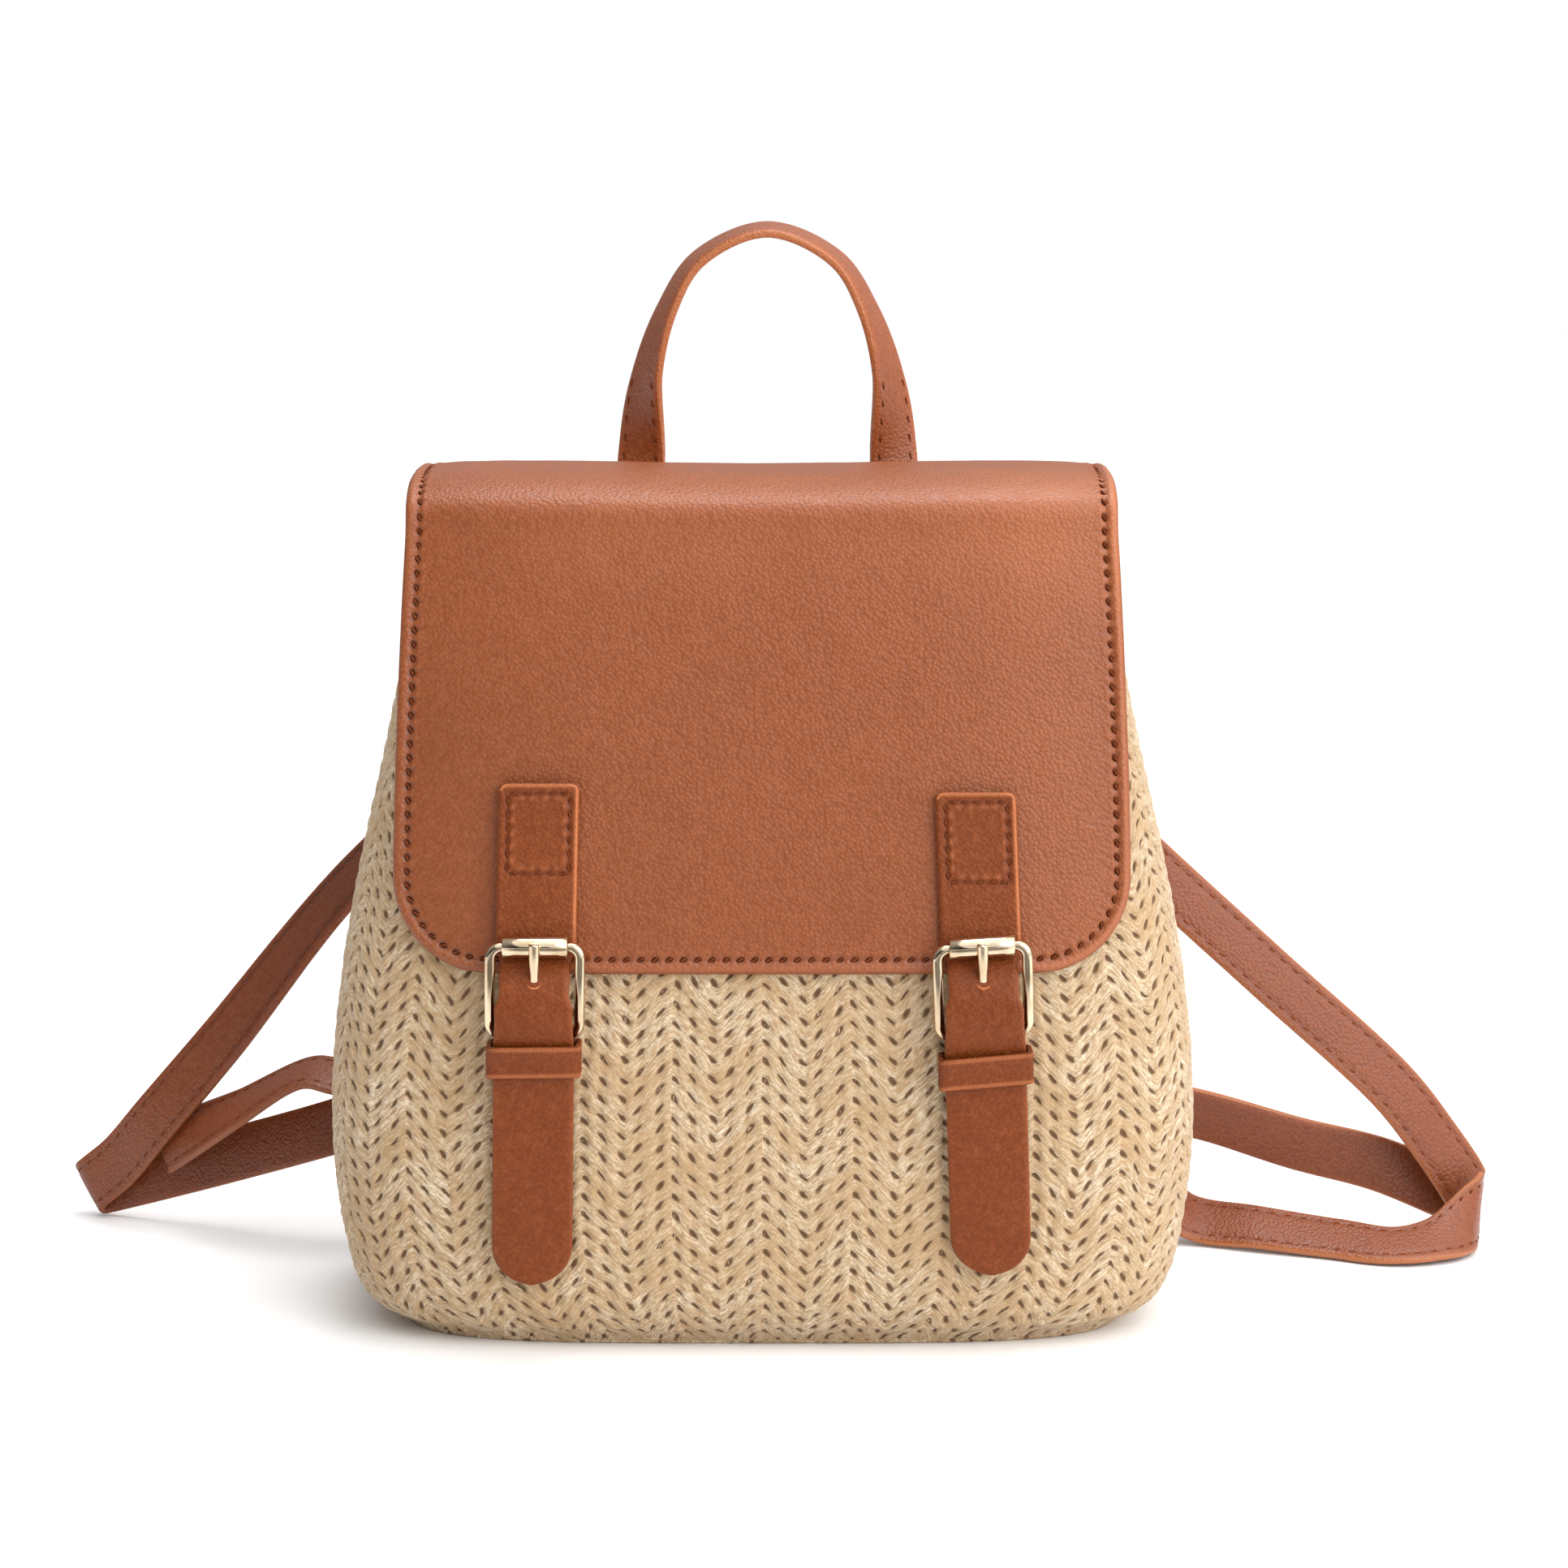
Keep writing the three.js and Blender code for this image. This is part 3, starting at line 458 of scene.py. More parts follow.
def grid_faces(rows, columns, close_rows=False, close_columns=False):
    i = np.arange(rows if close_rows else rows - 1)
    j = np.arange(columns if close_columns else columns - 1)
    i, j = np.meshgrid(i, j, indexing="ij")
    i2, j2 = (i + 1) % rows, (j + 1) % columns
    quads = np.stack([i * columns + j, i * columns + j2, i2 * columns + j2, i2 * columns + j], -1)
    return quads.reshape(-1, 4)


def outward(points, faces):
    """Faces turned so that a closed mesh's volume is positive."""
    p = np.asarray(points, float)
    f = np.asarray(faces)
    volume = np.einsum("ij,ij->i", p[f[:, 0]], np.cross(p[f[:, 1]], p[f[:, 2]])).sum()
    volume += np.einsum("ij,ij->i", p[f[:, 0]], np.cross(p[f[:, 2]], p[f[:, 3]])).sum()
    return f if volume > 0 else f[:, ::-1]


def tube(name, rings, material, replaced=(), closed=False, tone=None, uv=None):
    """Joins rings of equal length. Open ones are closed at each end by rings that shrink to a line."""
    rings = [np.asarray(r, float) for r in rings]
    if not closed:
        pinch = lambda r, s: r.mean(0) + (r - r.mean(0)) * s
        rings = [pinch(rings[0], 0.02)] + rings + [pinch(rings[-1], 0.02)]
        if tone is not None:
            tone = [tone[0]] + list(tone) + [tone[-1]]
        if uv is not None:
            uv = [uv[0]] + list(uv) + [uv[-1]]
    points = np.concatenate(rings)
    faces = outward(points, grid_faces(len(rings), len(rings[0]), closed, True))
    flat = None if tone is None else np.concatenate([np.asarray(t, float) for t in tone])
    spread = None if uv is None else np.concatenate([np.asarray(t, float) for t in uv])
    return piece(name, points, faces, material, replaced, uv=spread, tone=flat)


def sew(name, runs, length, width, height, slant, material, lift=0.0, pitch=None):
    """Small rounded stitches along runs of (points, normals): one joined mesh."""
    shape = []
    around, steps = 8, 6
    for i in range(steps + 1):
        a = pi * i / steps
        r = max(sin(a), 0.05) ** 0.7
        for k in range(around):
            b = 2 * pi * k / around
            shape.append((
                -cos(a) * length / 2, cos(b) * r * width / 2, sin(b) * r * height / 2,
            ))
    shape = np.array(shape)
    quads = grid_faces(steps + 1, around, False, True)[:, ::-1]
    points, faces = [], []
    for line, normals in runs:
        line, normals = np.asarray(line, float), np.asarray(normals, float)
        run = lengths(line)
        # Without a pitch, every point of a run gets a stitch
        count = max(int(run[-1] / pitch), 1) if pitch else len(line)
        at = (np.arange(count) + 0.5) * run[-1] / count if pitch else run
        where = trace(at, run, line)
        ahead, behind = trace(at + 0.3, run, line), trace(at - 0.3, run, line)
        up = unit(trace(at, run, normals))
        along = unit(ahead - behind)
        side = unit(np.cross(up, along))
        along = np.cross(side, up)
        c, s = cos(radians(slant)), sin(radians(slant))
        first, second = along * c + side * s, side * c - along * s
        for p, f, g, h in zip(where, first, second, up):
            faces.append(quads + len(points) * len(shape))
            points.append(p + h * lift + shape[:, :1] * f + shape[:, 1:2] * g + shape[:, 2:] * h)
    return piece(name, np.concatenate(points), np.concatenate(faces), material)


# Woven body
def oval(half_x, half_y, count):
    """Points at even steps round a squared oval, from the middle of the front towards +X."""
    a = np.linspace(-pi / 2, 1.5 * pi, 1441)
    r = ((np.cos(a) / half_x) ** 4 + (np.sin(a) / half_y) ** 4) ** -0.25
    x, y = r * np.cos(a), r * np.sin(a)
    run = np.concatenate([[0], np.cumsum(np.hypot(np.diff(x), np.diff(y)))])
    at = np.arange(count) / count * run[-1]
    return np.stack([np.interp(at, run, x), np.interp(at, run, y)], -1)


def braid_relief(u, v):
    """Height of the strands over the wall."""
    x = u % STRIP_W
    sharp = np.minimum(x, STRIP_W - x)
    eased = np.sqrt(sharp**2 + TURN)
    tri = STRIP_W / 2 - np.sqrt((STRIP_W / 2 - eased) ** 2 + TURN)
    strand = (v + tri * SLOPE) / PITCH
    offset = np.abs((strand + 0.5) % 1 - 0.5)
    across = offset * PITCH * cos(atan(SLOPE))
    height = 0.17 * (1 - np.cos(2 * pi * offset))
    for centre, following in zip(SLITS, SLITS[1:] + (SLITS[0] + STRIP_W,)):
        far = ((x - centre) / 1.2) ** 2 + (across / 0.7) ** 2
        height -= 0.55 * np.clip(1.4 - far, 0, 1)
        share = ((x - centre) % STRIP_W) / (following - centre)
        height += np.where(share < 1, 0.4 * np.sin(pi * np.clip(share, 0, 1)), 0)
    # The strands dive a little where the strips meet
    height -= 0.1 * bell(sharp, 0, 1.2)
    return height - BRAID_SINK


def woven_body():
    columns = int(STRIPS * STRIP_W / BRAID_STEP / 4) * 4
    z = np.linspace(0.5, BODY_H, int(BODY_H / BRAID_STEP))
    points = np.empty((len(z), columns, 3))
    for i, h in enumerate(z):
        # The braid turns under at the foot of the wall
        tuck = 0.22 * max(BASE_T + GAP + 1 - h, 0) ** 2
        points[i, :, :2] = oval(half_width(h) - tuck, half_depth(h) - tuck, columns)
        points[i, :, 2] = h
    run = np.concatenate([[0], np.cumsum(np.hypot(np.diff(half_depth(z)), np.diff(z)))])
    u = np.broadcast_to(np.arange(columns) / columns * STRIPS * STRIP_W, points.shape[:2])
    v = np.broadcast_to(run[:, None], points.shape[:2])
    whole = STRIPS * STRIP_W
    u = u + 0.45 * noise(u, v, whole / 90, 1, whole)
    v = v + 0.7 * noise(u, v, whole / 60, 2, whole) + 0.35 * noise(u, v, whole / 150, 3, whole)
    level = braid_relief(u, v) + 0.16 * noise(u, v, whole / 200, 4, whole)
    along = np.roll(points, -1, 1) - np.roll(points, 1, 1)
    upward = np.gradient(points, axis=0)
    normal = unit(np.cross(along, upward))
    ease = np.minimum((z - z[0]) / 3, 1)[:, None]
    points = points + normal * (level * (0.4 + 0.6 * ease))[..., None]
    shares = [(0, 0.25), (0.25, 0.5), (0.5, 0.75), (0.75, 1)]
    for (start, end), side in zip(shares, ("front_right", "back_right", "back_left", "front_left")):
        chosen = np.arange(int(start * columns), int(end * columns) + 1)
        wrap = chosen % columns
        flat_u = np.where((chosen == columns)[None], u[:, wrap] + whole, u[:, wrap])
        spread = np.stack([flat_u, v[:, wrap]], -1)
        piece(
            f"braid_{side}", points[:, wrap].reshape(-1, 3), grid_faces(len(z), len(chosen)),
            STRAW, uv=spread.reshape(-1, 2),
        )
    # Wall behind the braid, over the rim and down inside
    around = 208
    levels = np.linspace(BASE_T + GAP, BODY_H - 0.6, 40)
    rings, spread = [], []
    for inset, heights in ((1.3, levels), (WALL, levels[::-1])):
        for h in heights:
            ring = oval(half_width(h) - inset, half_depth(h) - inset, around)
            rings.append(np.column_stack([ring, np.full(around, h)]))
            spread.append(np.column_stack([np.arange(around) / around * whole, np.full(around, h)]))
    tube("woven_wall", rings, STRAW, ("woven_body",), closed=True, uv=spread)


def woven_base():
    out_x = size_of("woven_base", 0) / 2 - BASE_INSET
    out_y = size_of("woven_base", 1) / 2 - BASE_INSET
    around = 416
    rings, spread = [], []
    edge = [(0.02, 0.3), (0.3, 0.3), (0.6, 0.3), (0.9, 0.25), (0.985, 0.1), (0.993, 0.2), (1, 0.8)]
    edge += [(1, 1.5), (0.995, 2.1), (0.98, 2.3), (0.9, 2.3), (0.5, 2.3), (0.02, 2.3)]
    for share, h in edge:
        ring = oval(out_x, out_y, around) * share
        wave = 0.22 * np.sin(np.arange(around) * 2 * pi * 104 / around) if share > 0.985 else 0
        ring = ring * (1 + wave / out_x)[:, None] if share > 0.985 else ring
        rings.append(np.column_stack([ring, np.full(around, h)]))
        spread.append(ring[:, :2] + [0, h])
    points = np.concatenate(rings)
    faces = outward(points, grid_faces(len(rings), around, False, True))
    piece("base_panel", points, faces, STRAW, ("woven_base",), uv=np.concatenate(spread))


# Flap
def flap_path():
    """The flap's middle line from the lower front edge to the back one: y, z and half width."""
    crest = float(half_depth(BODY_H)) + FLAP_GAP
    rows = []
    for share in (0, 0.24, 0.49, 0.71, 0.87, 1):
        z = FLAP_BACK + share * (BODY_H - 1 - FLAP_BACK)
        rows.append((float(flap_y(0, z)), z, 0))
    crown = [(1.0, 0.33), (0.95, 0.52), (0.83, 0.73), (0.62, 0.9), (0.32, 0.985), (0, 1)]
    crown = [(y * crest + 0.3, BODY_H - 1 + z * (FLAP_RISE + 1), 0) for y, z in crown]
    rows += crown + [(-y, z, 0) for y, z, _ in crown[-2::-1]]
    z = BODY_H - 2
    while z > FLAP_BOTTOM + FLAP_CORNER + 2:
        rows.append((-float(flap_y(0, z)), z, 0))
        z -= 10.2
    for degrees in (0, 18, 34, 50, 64, 76, 86, 90):
        a = radians(degrees)
        z = FLAP_BOTTOM + FLAP_CORNER * (1 - sin(a))
        rows.append((-float(flap_y(0, z)), z, FLAP_CORNER * (1 - cos(a))))
    out = []
    for y, z, _ in rows:
        drop = min(max((BODY_H - z) / (BODY_H - FLAP_BOTTOM - FLAP_CORNER), 0), 1)
        half = FLAP_HALF_W - 3.5 * (1 - drop) ** 1.5 if y < 0 else FLAP_HALF_W - 3.5 - 3 * drop
        out.append((y, z, half))
    fine = spline(out, np.linspace(0, 1, 4000))[::-1]
    # The fold over the top is soft
    weight = np.hanning(2 * SOFT + 1)
    weight /= weight.sum()
    for column in (0, 1):
        padded = np.pad(fine[:, column], SOFT, mode="reflect", reflect_type="odd")
        fine[:, column] = np.convolve(padded, weight, mode="valid")
    run = np.concatenate([[0], np.cumsum(np.hypot(np.diff(fine[:, 0]), np.diff(fine[:, 1])))])
    return fine, run


FLAP_LINE, FLAP_RUN = flap_path()


def flap_at(x, up):
    """Points and normals of the flap's underside at x and at a length up from its lower edge."""
    def place(a, b):
        y = np.interp(b, FLAP_RUN, FLAP_LINE[:, 0])
        z = np.interp(b, FLAP_RUN, FLAP_LINE[:, 1])
        # The crown sags a little in the middle and rounds off at its ends
        crown = np.clip((z - BODY_H) / 8, 0, 1)
        sag = CROWN_SAG * bell(a, 0, 45) + CROWN_ROUND * np.abs(a / FLAP_HALF_W) ** 12
        return np.stack([a, y * squared(a, FLAP_BOW), z - sag * crown], -1)

    x, up = np.asarray(x, float), np.clip(up, 0, FLAP_RUN[-1])
    across = place(x + 0.4, up) - place(x - 0.4, up)
    climb = place(x, np.minimum(up + 0.8, FLAP_RUN[-1])) - place(x, np.maximum(up - 0.8, 0))
    return place(x, up), unit(np.cross(across, climb))


def flap_half(up):
    return np.interp(up, FLAP_RUN, FLAP_LINE[:, 2])


def flap_edge(x, up):
    """Distance in from the nearest free edge and the length along the seam from the lower middle."""
    half = flap_half(up)
    corner = FLAP_CORNER
    ax = np.abs(x)
    dx, dy = ax - (half - corner), corner - up
    in_corner = (dx > 0) & (dy > 0)
    reach = corner - np.hypot(np.maximum(dx, 0), np.maximum(dy, 0))
    inward = np.where(in_corner, reach, np.minimum(half - ax, np.minimum(up, FLAP_RUN[-1] - up)))
    turn = np.arctan2(np.maximum(dx, 0), np.maximum(dy, 1e-6))
    bend = corner - FLAP_SEAM
    flat = FLAP_HALF_W - corner
    beside = np.where(dy <= 0, flat + bend * pi / 2 - dy, ax)
    length = np.where(in_corner, flat + bend * turn, beside)
    return inward, length


def flap():
    across, ups = 216, 290
    t = np.sin(np.linspace(-1, 1, across) * pi / 2.25) / sin(pi / 2.25)
    up = FLAP_RUN[-1] * np.linspace(0, 1, ups)
    up = np.sort(np.concatenate([up, np.linspace(0, 8, 14)[1:]]))
    corner = FLAP_CORNER
    cut = np.where(up < corner, corner - np.sqrt(np.maximum(corner**2 - (corner - up) ** 2, 0)), 0)
    x = t[None] * (flap_half(up) - cut)[:, None]
    ups2 = np.broadcast_to(up[:, None], x.shape)
    base, normal = flap_at(x, ups2)
    inward, length = flap_edge(x, ups2)
    inward = np.maximum(inward, 0)
    flat, bend = FLAP_HALF_W - corner, corner - FLAP_SEAM
    total = flat + bend * pi / 2 + FLAP_RUN[-1] - corner - FLAP_SEAM
    pitch = total / round(total / FLAP_PITCH)
    # 1 at a stitch, 0 between two
    beat = 0.5 - 0.5 * np.cos(2 * pi * length / pitch)
    level = 0.6 * bell(inward, 1.8, 1.2)
    level -= 0.75 * bell(inward, FLAP_SEAM, 0.8) * (0.35 + 0.65 * beat)
    level += 0.35 * np.exp(-(((inward - FLAP_SEAM - 0.6) / 1.3) ** 2)) * (1 - beat)
    level -= 1.1 * (1 - np.sqrt(1 - (1 - np.clip(inward / 0.9, 0, 1)) ** 2))
    level += 0.12 * noise(x, ups2, 17, 11) + 0.07 * noise(x, ups2, 6, 12)
    outer = base + normal * (FLAP_T + level)[..., None]
    # Painted highlight on the rolled rim, painted shade in the seam's groove and holes, painted highlights
    # on the scallops between stitches
    tone = 0.38 * bell(inward, 1.6, 0.9)
    tone -= 0.8 * bell(inward, 4.0, 0.9) * (0.35 + 0.65 * beat)
    tone += 0.45 * bell(inward, 4.2, 1.0) * (1 - beat)
    # Painted highlight, a little paler along the crest
    height = base[..., 2] - BODY_H
    front = np.clip(-base[..., 1] / 25, 0, 1)
    tone += 0.24 * bell(height, -2, 20) * front
    # and a painted highlight towards the right side, with painted shade towards the left
    tone += (0.16 * bell(x, 76, 24) - 0.22 * np.clip((-x - 45) / 50, 0, 1)) * front
    rows = len(up)
    loop, size = border(rows, across), rows * across
    turned_in = base.reshape(-1, 3)[loop]
    around = np.arange(len(loop))
    after = np.roll(around, -1)
    rim = np.stack([loop, around + size, after + size, loop[after]], -1)
    points = np.concatenate([outer.reshape(-1, 3), turned_in])
    faces = np.concatenate([grid_faces(rows, across), rim])
    tones = np.concatenate([tone.ravel(), np.full(len(loop), 0.1)])
    piece("leather_flap", points, faces, LEATHER, ("flap",), tone=tones)
    # Underside
    pick_up = np.unique(np.concatenate([np.arange(0, rows, 4), [rows - 1]]))
    pick_across = np.unique(np.concatenate([np.arange(0, across, 4), [across - 1]]))
    inside = base[np.ix_(pick_up, pick_across)]
    back = grid_faces(len(pick_up), len(pick_across))[:, ::-1]
    shade = np.full(inside.shape[:2], -0.25)
    piece("flap_underside", inside.reshape(-1, 3), back, LEATHER, tone=shade)
    # Seam round the free edges
    s = (np.arange(-round(total / pitch), round(total / pitch)) + 0.5) * pitch
    a = np.abs(s)
    turn = np.clip((a - flat) / bend, 0, pi / 2)
    rise = np.maximum(a - flat - bend * pi / 2, 0)
    up = np.where(a < flat, FLAP_SEAM, corner - bend * np.cos(turn) + rise)
    half = flap_half(up)
    x = np.where(a < flat, a, half - corner + bend * np.sin(turn)) * np.sign(s)
    line, normals = flap_at(x, up)
    line = line + normals * (FLAP_T - 0.3)
    return [(line, normals)]


# Straps
def ribbon(
    name, keys, width, thick, step, replaced, material, edge=0.5, *, bevel, width_at=None, face=1,
    drop=0.3, relief=None, fine=21,
):
    """A flat strap with eased edges along keys of [x, y, z, direction across]. Returns its frames.

    edge is how light the cut edges are. The side away from the face is plain and darker. relief gives
    the face's height and tone at a place across, a length along and a half width."""
    keys = np.asarray(keys, float)
    spans = len(keys) - 1
    coarse = spline(keys[:, :3], np.linspace(0, 1, spans * 40 + 1))
    run = lengths(coarse)
    t = np.interp(np.linspace(0, run[-1], int(run[-1] / step) + 1), run, np.linspace(0, 1, len(run)))
    centre = spline(keys[:, :3], t)
    along = unit(spline(keys[:, :3], np.minimum(t + 1e-4, 1)) - spline(keys[:, :3], np.maximum(t - 1e-4, 0)))
    across = unit(spline(unit(keys[:, 3:]), t))
    normal = np.cross(along, across)
    half = (np.full(len(t), width) if width_at is None else width_at(t)) / 2
    half = half / np.linalg.norm(normal, axis=1)
    normal = unit(normal)
    b = thick / 2
    inner = np.sin(np.linspace(-1, 1, fine) * 1.35) / sin(1.35)
    lip = [(1, 0, b - drop - 0.45), (1, -0.18, b - drop - 0.1)]
    section = [(-kind, -k, level) for kind, k, level in lip] + [(0, k, b) for k in inner] + lip[::-1]
    section = np.array(section + [(kind, k, -level) for kind, k, level in section[::-1]])
    kind, k, level = section.T
    flank, side = kind != 0, np.sign(level)
    length = lengths(centre)
    wide = half[:, None]
    eased = np.minimum(bevel, wide * 0.45)
    u = np.where(flank, kind * wide + k, k * (wide - eased))
    outer = (side * face > 0) & ~flank
    inward = wide - np.abs(u)
    ease = np.where(flank, 0, 0.25 * (1 - np.clip((inward - eased * 0.6) / 1.5, 0, 1)) ** 2)
    swell = np.where(flank, 0, 0.12 * np.cos(pi / 2 * k)) - ease
    light = 0.5 * edge * bell(inward, 0.8, 0.7)
    tone = np.where(flank, edge, light - np.where(outer, 0, 0.3))
    if relief:
        extra, shade = relief(u, length[:, None], wide)
        swell = swell + np.where(outer, extra, 0)
        tone = tone + np.where(outer, shade, 0)
    depth = level + swell * side
    rings = centre[:, None] + across[:, None] * u[..., None] + normal[:, None] * depth[..., None]
    spread = np.stack([u, np.broadcast_to(length[:, None], u.shape)], -1)
    tube(name, rings, material, replaced, tone=tone, uv=spread)
    return {
        "centre": centre, "across": across, "normal": normal,
        "half": half, "length": length, "thick": thick,
    }


def sunk_seams(inset, shade, start, end):
    """Relief of the two sewn lines along a strap's edges, darkened in them as painted shade. The added
    painted shade goes from shade at start to 0 at end.
    """
    def relief(u, s, half):
        off = (half - np.abs(u) - inset) / 0.75
        near = np.exp(-(off**2))
        return -0.22 * near, -0.3 * near + shade * np.clip((end - s) / (end - start), 0, 1)

    return relief


def seam(strap, inset, side, face, start, end, sunk=0.3):
    """The line along one edge of a strap, from start to end as shares of its length."""
    share = strap["length"] / strap["length"][-1]
    chosen = (share >= start) & (share <= end)
    u = side * (strap["half"][chosen] - inset)
    normal = strap["normal"][chosen] * face
    line = strap["centre"][chosen] + strap["across"][chosen] * u[:, None]
    return line + normal * (strap["thick"] / 2 - sunk), normal


def wire(name, centres, radii, sideways, upwards, replaced, closed=True):
    """A metal wire round given centres, with radii (sideways, upwards) at each."""
    c, s = circle(24)
    rings = []
    for p, (w, h), e, f in zip(centres, radii, sideways, upwards):
        rings.append(p + np.outer(c * w, e) + np.outer(s * h, f))
    return tube(name, rings, GOLD, replaced, closed=closed)


def rounded_loop(half_u, half_v, corner, step, edge):
    """Middle line of a rounded rectangle: u, v and the outward direction, with extra points on straights."""
    loop = []
    for su, sv, start in ((1, 1, 0), (-1, 1, 90), (-1, -1, 180), (1, -1, 270)):
        for a in np.arange(0, 90.1, step):
            r = radians(start + a)
            c, s = cos(r), sin(r)
            loop.append((su * (half_u - corner) + corner * c, sv * (half_v - corner) + corner * s, c, s))
    full = []
    for p, q in zip(loop, loop[1:] + loop[:1]):
        far = hypot(q[0] - p[0], q[1] - p[1])
        count = max(int(far / edge), 1)
        full += [tuple(np.array(p) * (1 - k / count) + np.array(q) * (k / count)) for k in range(count)]
    return full


STRAP_N = FLAP_T + 1.05 + GAP + STRAP_T / 2
ROLLER_N = STRAP_N + STRAP_T / 2 + 2 * GAP + ROLLER_R
HINGE_N = BAR_R + GAP + TAB_T + 1
HOOK_R = BAR_R + GAP + PRONG_R + 0.1
PRONG_END = (BAR_Z + 1.6, ROLLER_N + ROLLER_R + PRONG_R + 0.7)
# Box of stitches at a closing strap's top: half width and its ends' lengths from the top
BOX_HALF = 8.2
BOX_TOP = 2.8
BOX_LOW = 24.0
CORNER_R = 2.2
# Height above the hinge bar and distance from the wall of the strap's middle
TONGUE = (
    (54, 0), (42, 0), (32, 0), (27.5, 0), (BAR_Z - HINGE_Z - 0.4, 0.02), (21, 0.95), (18.3, 2.9), (15, 5.2),
    (9.8, 6.8), (4.6, 6.6), (0, 5.2), (-4, 3.7), (-8, 2.6), (-13, 1.7), (-21, 0.8), (-33, -0.4), (-46, -1.5),
    (-57, -1.9),
)


def closure(side):
    """One closing strap with its buckle, keeper and tab. Returns its sewn lines."""
    spec = CLOSURES[side]
    (top, tip), (top_z, tip_z) = spec["x"], [HINGE_Z + up for up in spec["z"]]

    def middle(h):
        return BODY_W / 2 * (top + (tip - top) * (top_z - h) / (top_z - tip_z))

    def place(u, h, n):
        near = np.abs(middle(h)) - TONGUE_W / 2 - 1
        return np.stack(np.broadcast_arrays(middle(h) + u, -wall_y(near, h) - n, h), -1)

    def leaning(degrees):
        return lambda u, h, n: place(u, h + u * tan(radians(degrees)), n)

    tilted = leaning(spec["tilt"])
    run = [(top_z, STRAP_N)] + [(HINGE_Z + up, STRAP_N + n) for up, n in TONGUE] + [(tip_z, STRAP_N - 1.9)]
    keys = [(*place(0, h, n), 1, 0, 0) for h, n in run]
    spans = len(run) - 1

    def width_at(t):
        h = np.interp(t * spans, np.arange(len(run)), [row[0] for row in run])
        r = TONGUE_W / 2
        from_tip = np.maximum(h - tip_z, 0)
        tip_width = np.maximum(2 * np.sqrt(np.maximum(r**2 - (r - from_tip) ** 2, 0)), 3)
        away = np.maximum(np.maximum(h - HINGE_Z - 19, HINGE_Z + 12 - h), 0)
        squeeze = np.maximum(1 - away / 4.5, 0)
        neck = TONGUE_W - (TONGUE_W - NECK_W) * (3 - 2 * squeeze) * squeeze**2
        from_top = np.clip(1 - (top_z - h) / CORNER_R, 0, 1)
        neck = neck - 1.0 * np.clip(1 - np.abs(h - HINGE_Z - 5) / 9, 0, 1)
        neck = neck - 2 * CORNER_R * (1 - np.sqrt(1 - from_top**2))
        return np.where(from_tip < r, tip_width, neck)

    def box_relief(u, s, half):
        """A sunk box of stitches at the top and a turned edge round it."""
        across_off = np.abs(u) - BOX_HALF
        along_off = np.abs(s - (BOX_TOP + BOX_LOW) / 2) - (BOX_LOW - BOX_TOP) / 2
        off = np.maximum(across_off, along_off)
        upright = 0.5 - 0.5 * np.cos(2 * pi * (s - BOX_TOP) / ((BOX_LOW - BOX_TOP) / 6))
        level_beat = 0.5 - 0.5 * np.cos(2 * pi * (u + BOX_HALF) / (2 * BOX_HALF / 5))
        beat = np.where(across_off > along_off, upright, level_beat)
        line = bell(off, 0, 0.7) * (0.45 + 0.55 * beat)
        inside = bell(off, -1.1, 0.7) * (1 - beat)
        plain = np.clip((s - BOX_LOW - 14) / 10, 0, 1)
        rim = np.exp(-(((np.minimum(half - np.abs(u), s) - 0.6) / 0.5) ** 2)) * (1 - plain)
        # Painted highlight on the turned edge's right side and top, painted shade on its left side, painted
        # shade in the stitch line and painted highlights on the scallops inside it
        lit = np.where((u > 0) | (s < 2.2), 0.6, -0.3)
        shade = lit * rim - 0.95 * line + 0.32 * inside + 0.12 * (1 - plain)
        return 0.35 * inside - 0.5 * line + 0.15 * rim, shade

    strap = ribbon(
        f"closing_strap_{side}", keys, TONGUE_W, STRAP_T, 0.55, (f"closure_strap_{side}",),
        DARK_LEATHER, 0.25, width_at=width_at, bevel=0.6, relief=box_relief, fine=45,
    )
    face = 1 if strap["normal"][10][1] < 0 else -1
    # Box of stitches at the top
    length = strap["length"]
    box = []
    for u, s in along_sides([(-1, BOX_TOP), (1, BOX_TOP), (1, BOX_LOW), (-1, BOX_LOW)], 30):
        u = u * BOX_HALF
        normal = trace(s, length, strap["normal"]) * face
        line = trace(s, length, strap["centre"]) + trace(s, length, strap["across"]) * u[:, None]
        box.append((line + normal * (STRAP_T / 2 - 0.35), normal))

    # Frame
    half_w, mid_z = (FRAME_W - RAIL_W) / 2, (BAR_Z + HINGE_Z) / 2

    def n_at(h):
        t = (h - HINGE_Z) / (BAR_Z - HINGE_Z)
        return HINGE_N + (ROLLER_N - HINGE_N) * t + RAIL_BOW * sin(pi * t)

    c, s = circle(32)
    # Rails are a little squarer than round
    c, s = np.sign(c) * np.abs(c) ** 0.9, np.sign(s) * np.abs(s) ** 0.9
    rings = []
    for u, v, du, dv in rounded_loop(half_w, (BAR_Z - HINGE_Z) / 2, FRAME_CORNER, 9, 0.8):
        thin = min(max((abs(u) - (half_w - FRAME_CORNER)) / 1.2, 0), 1)
        w = BAR_R + (RAIL_W / 2 - 0.15 - BAR_R) * thin
        t = BAR_R + (RAIL_T / 2 - BAR_R) * thin
        n = n_at(mid_z + v)
        rings.append([tilted(u + w * p * du, mid_z + v + w * p * dv, n + t * q) for p, q in zip(c, s)])
    tube(f"frame_{side}", rings, GOLD, (f"buckle_frame_{side}",), closed=True)

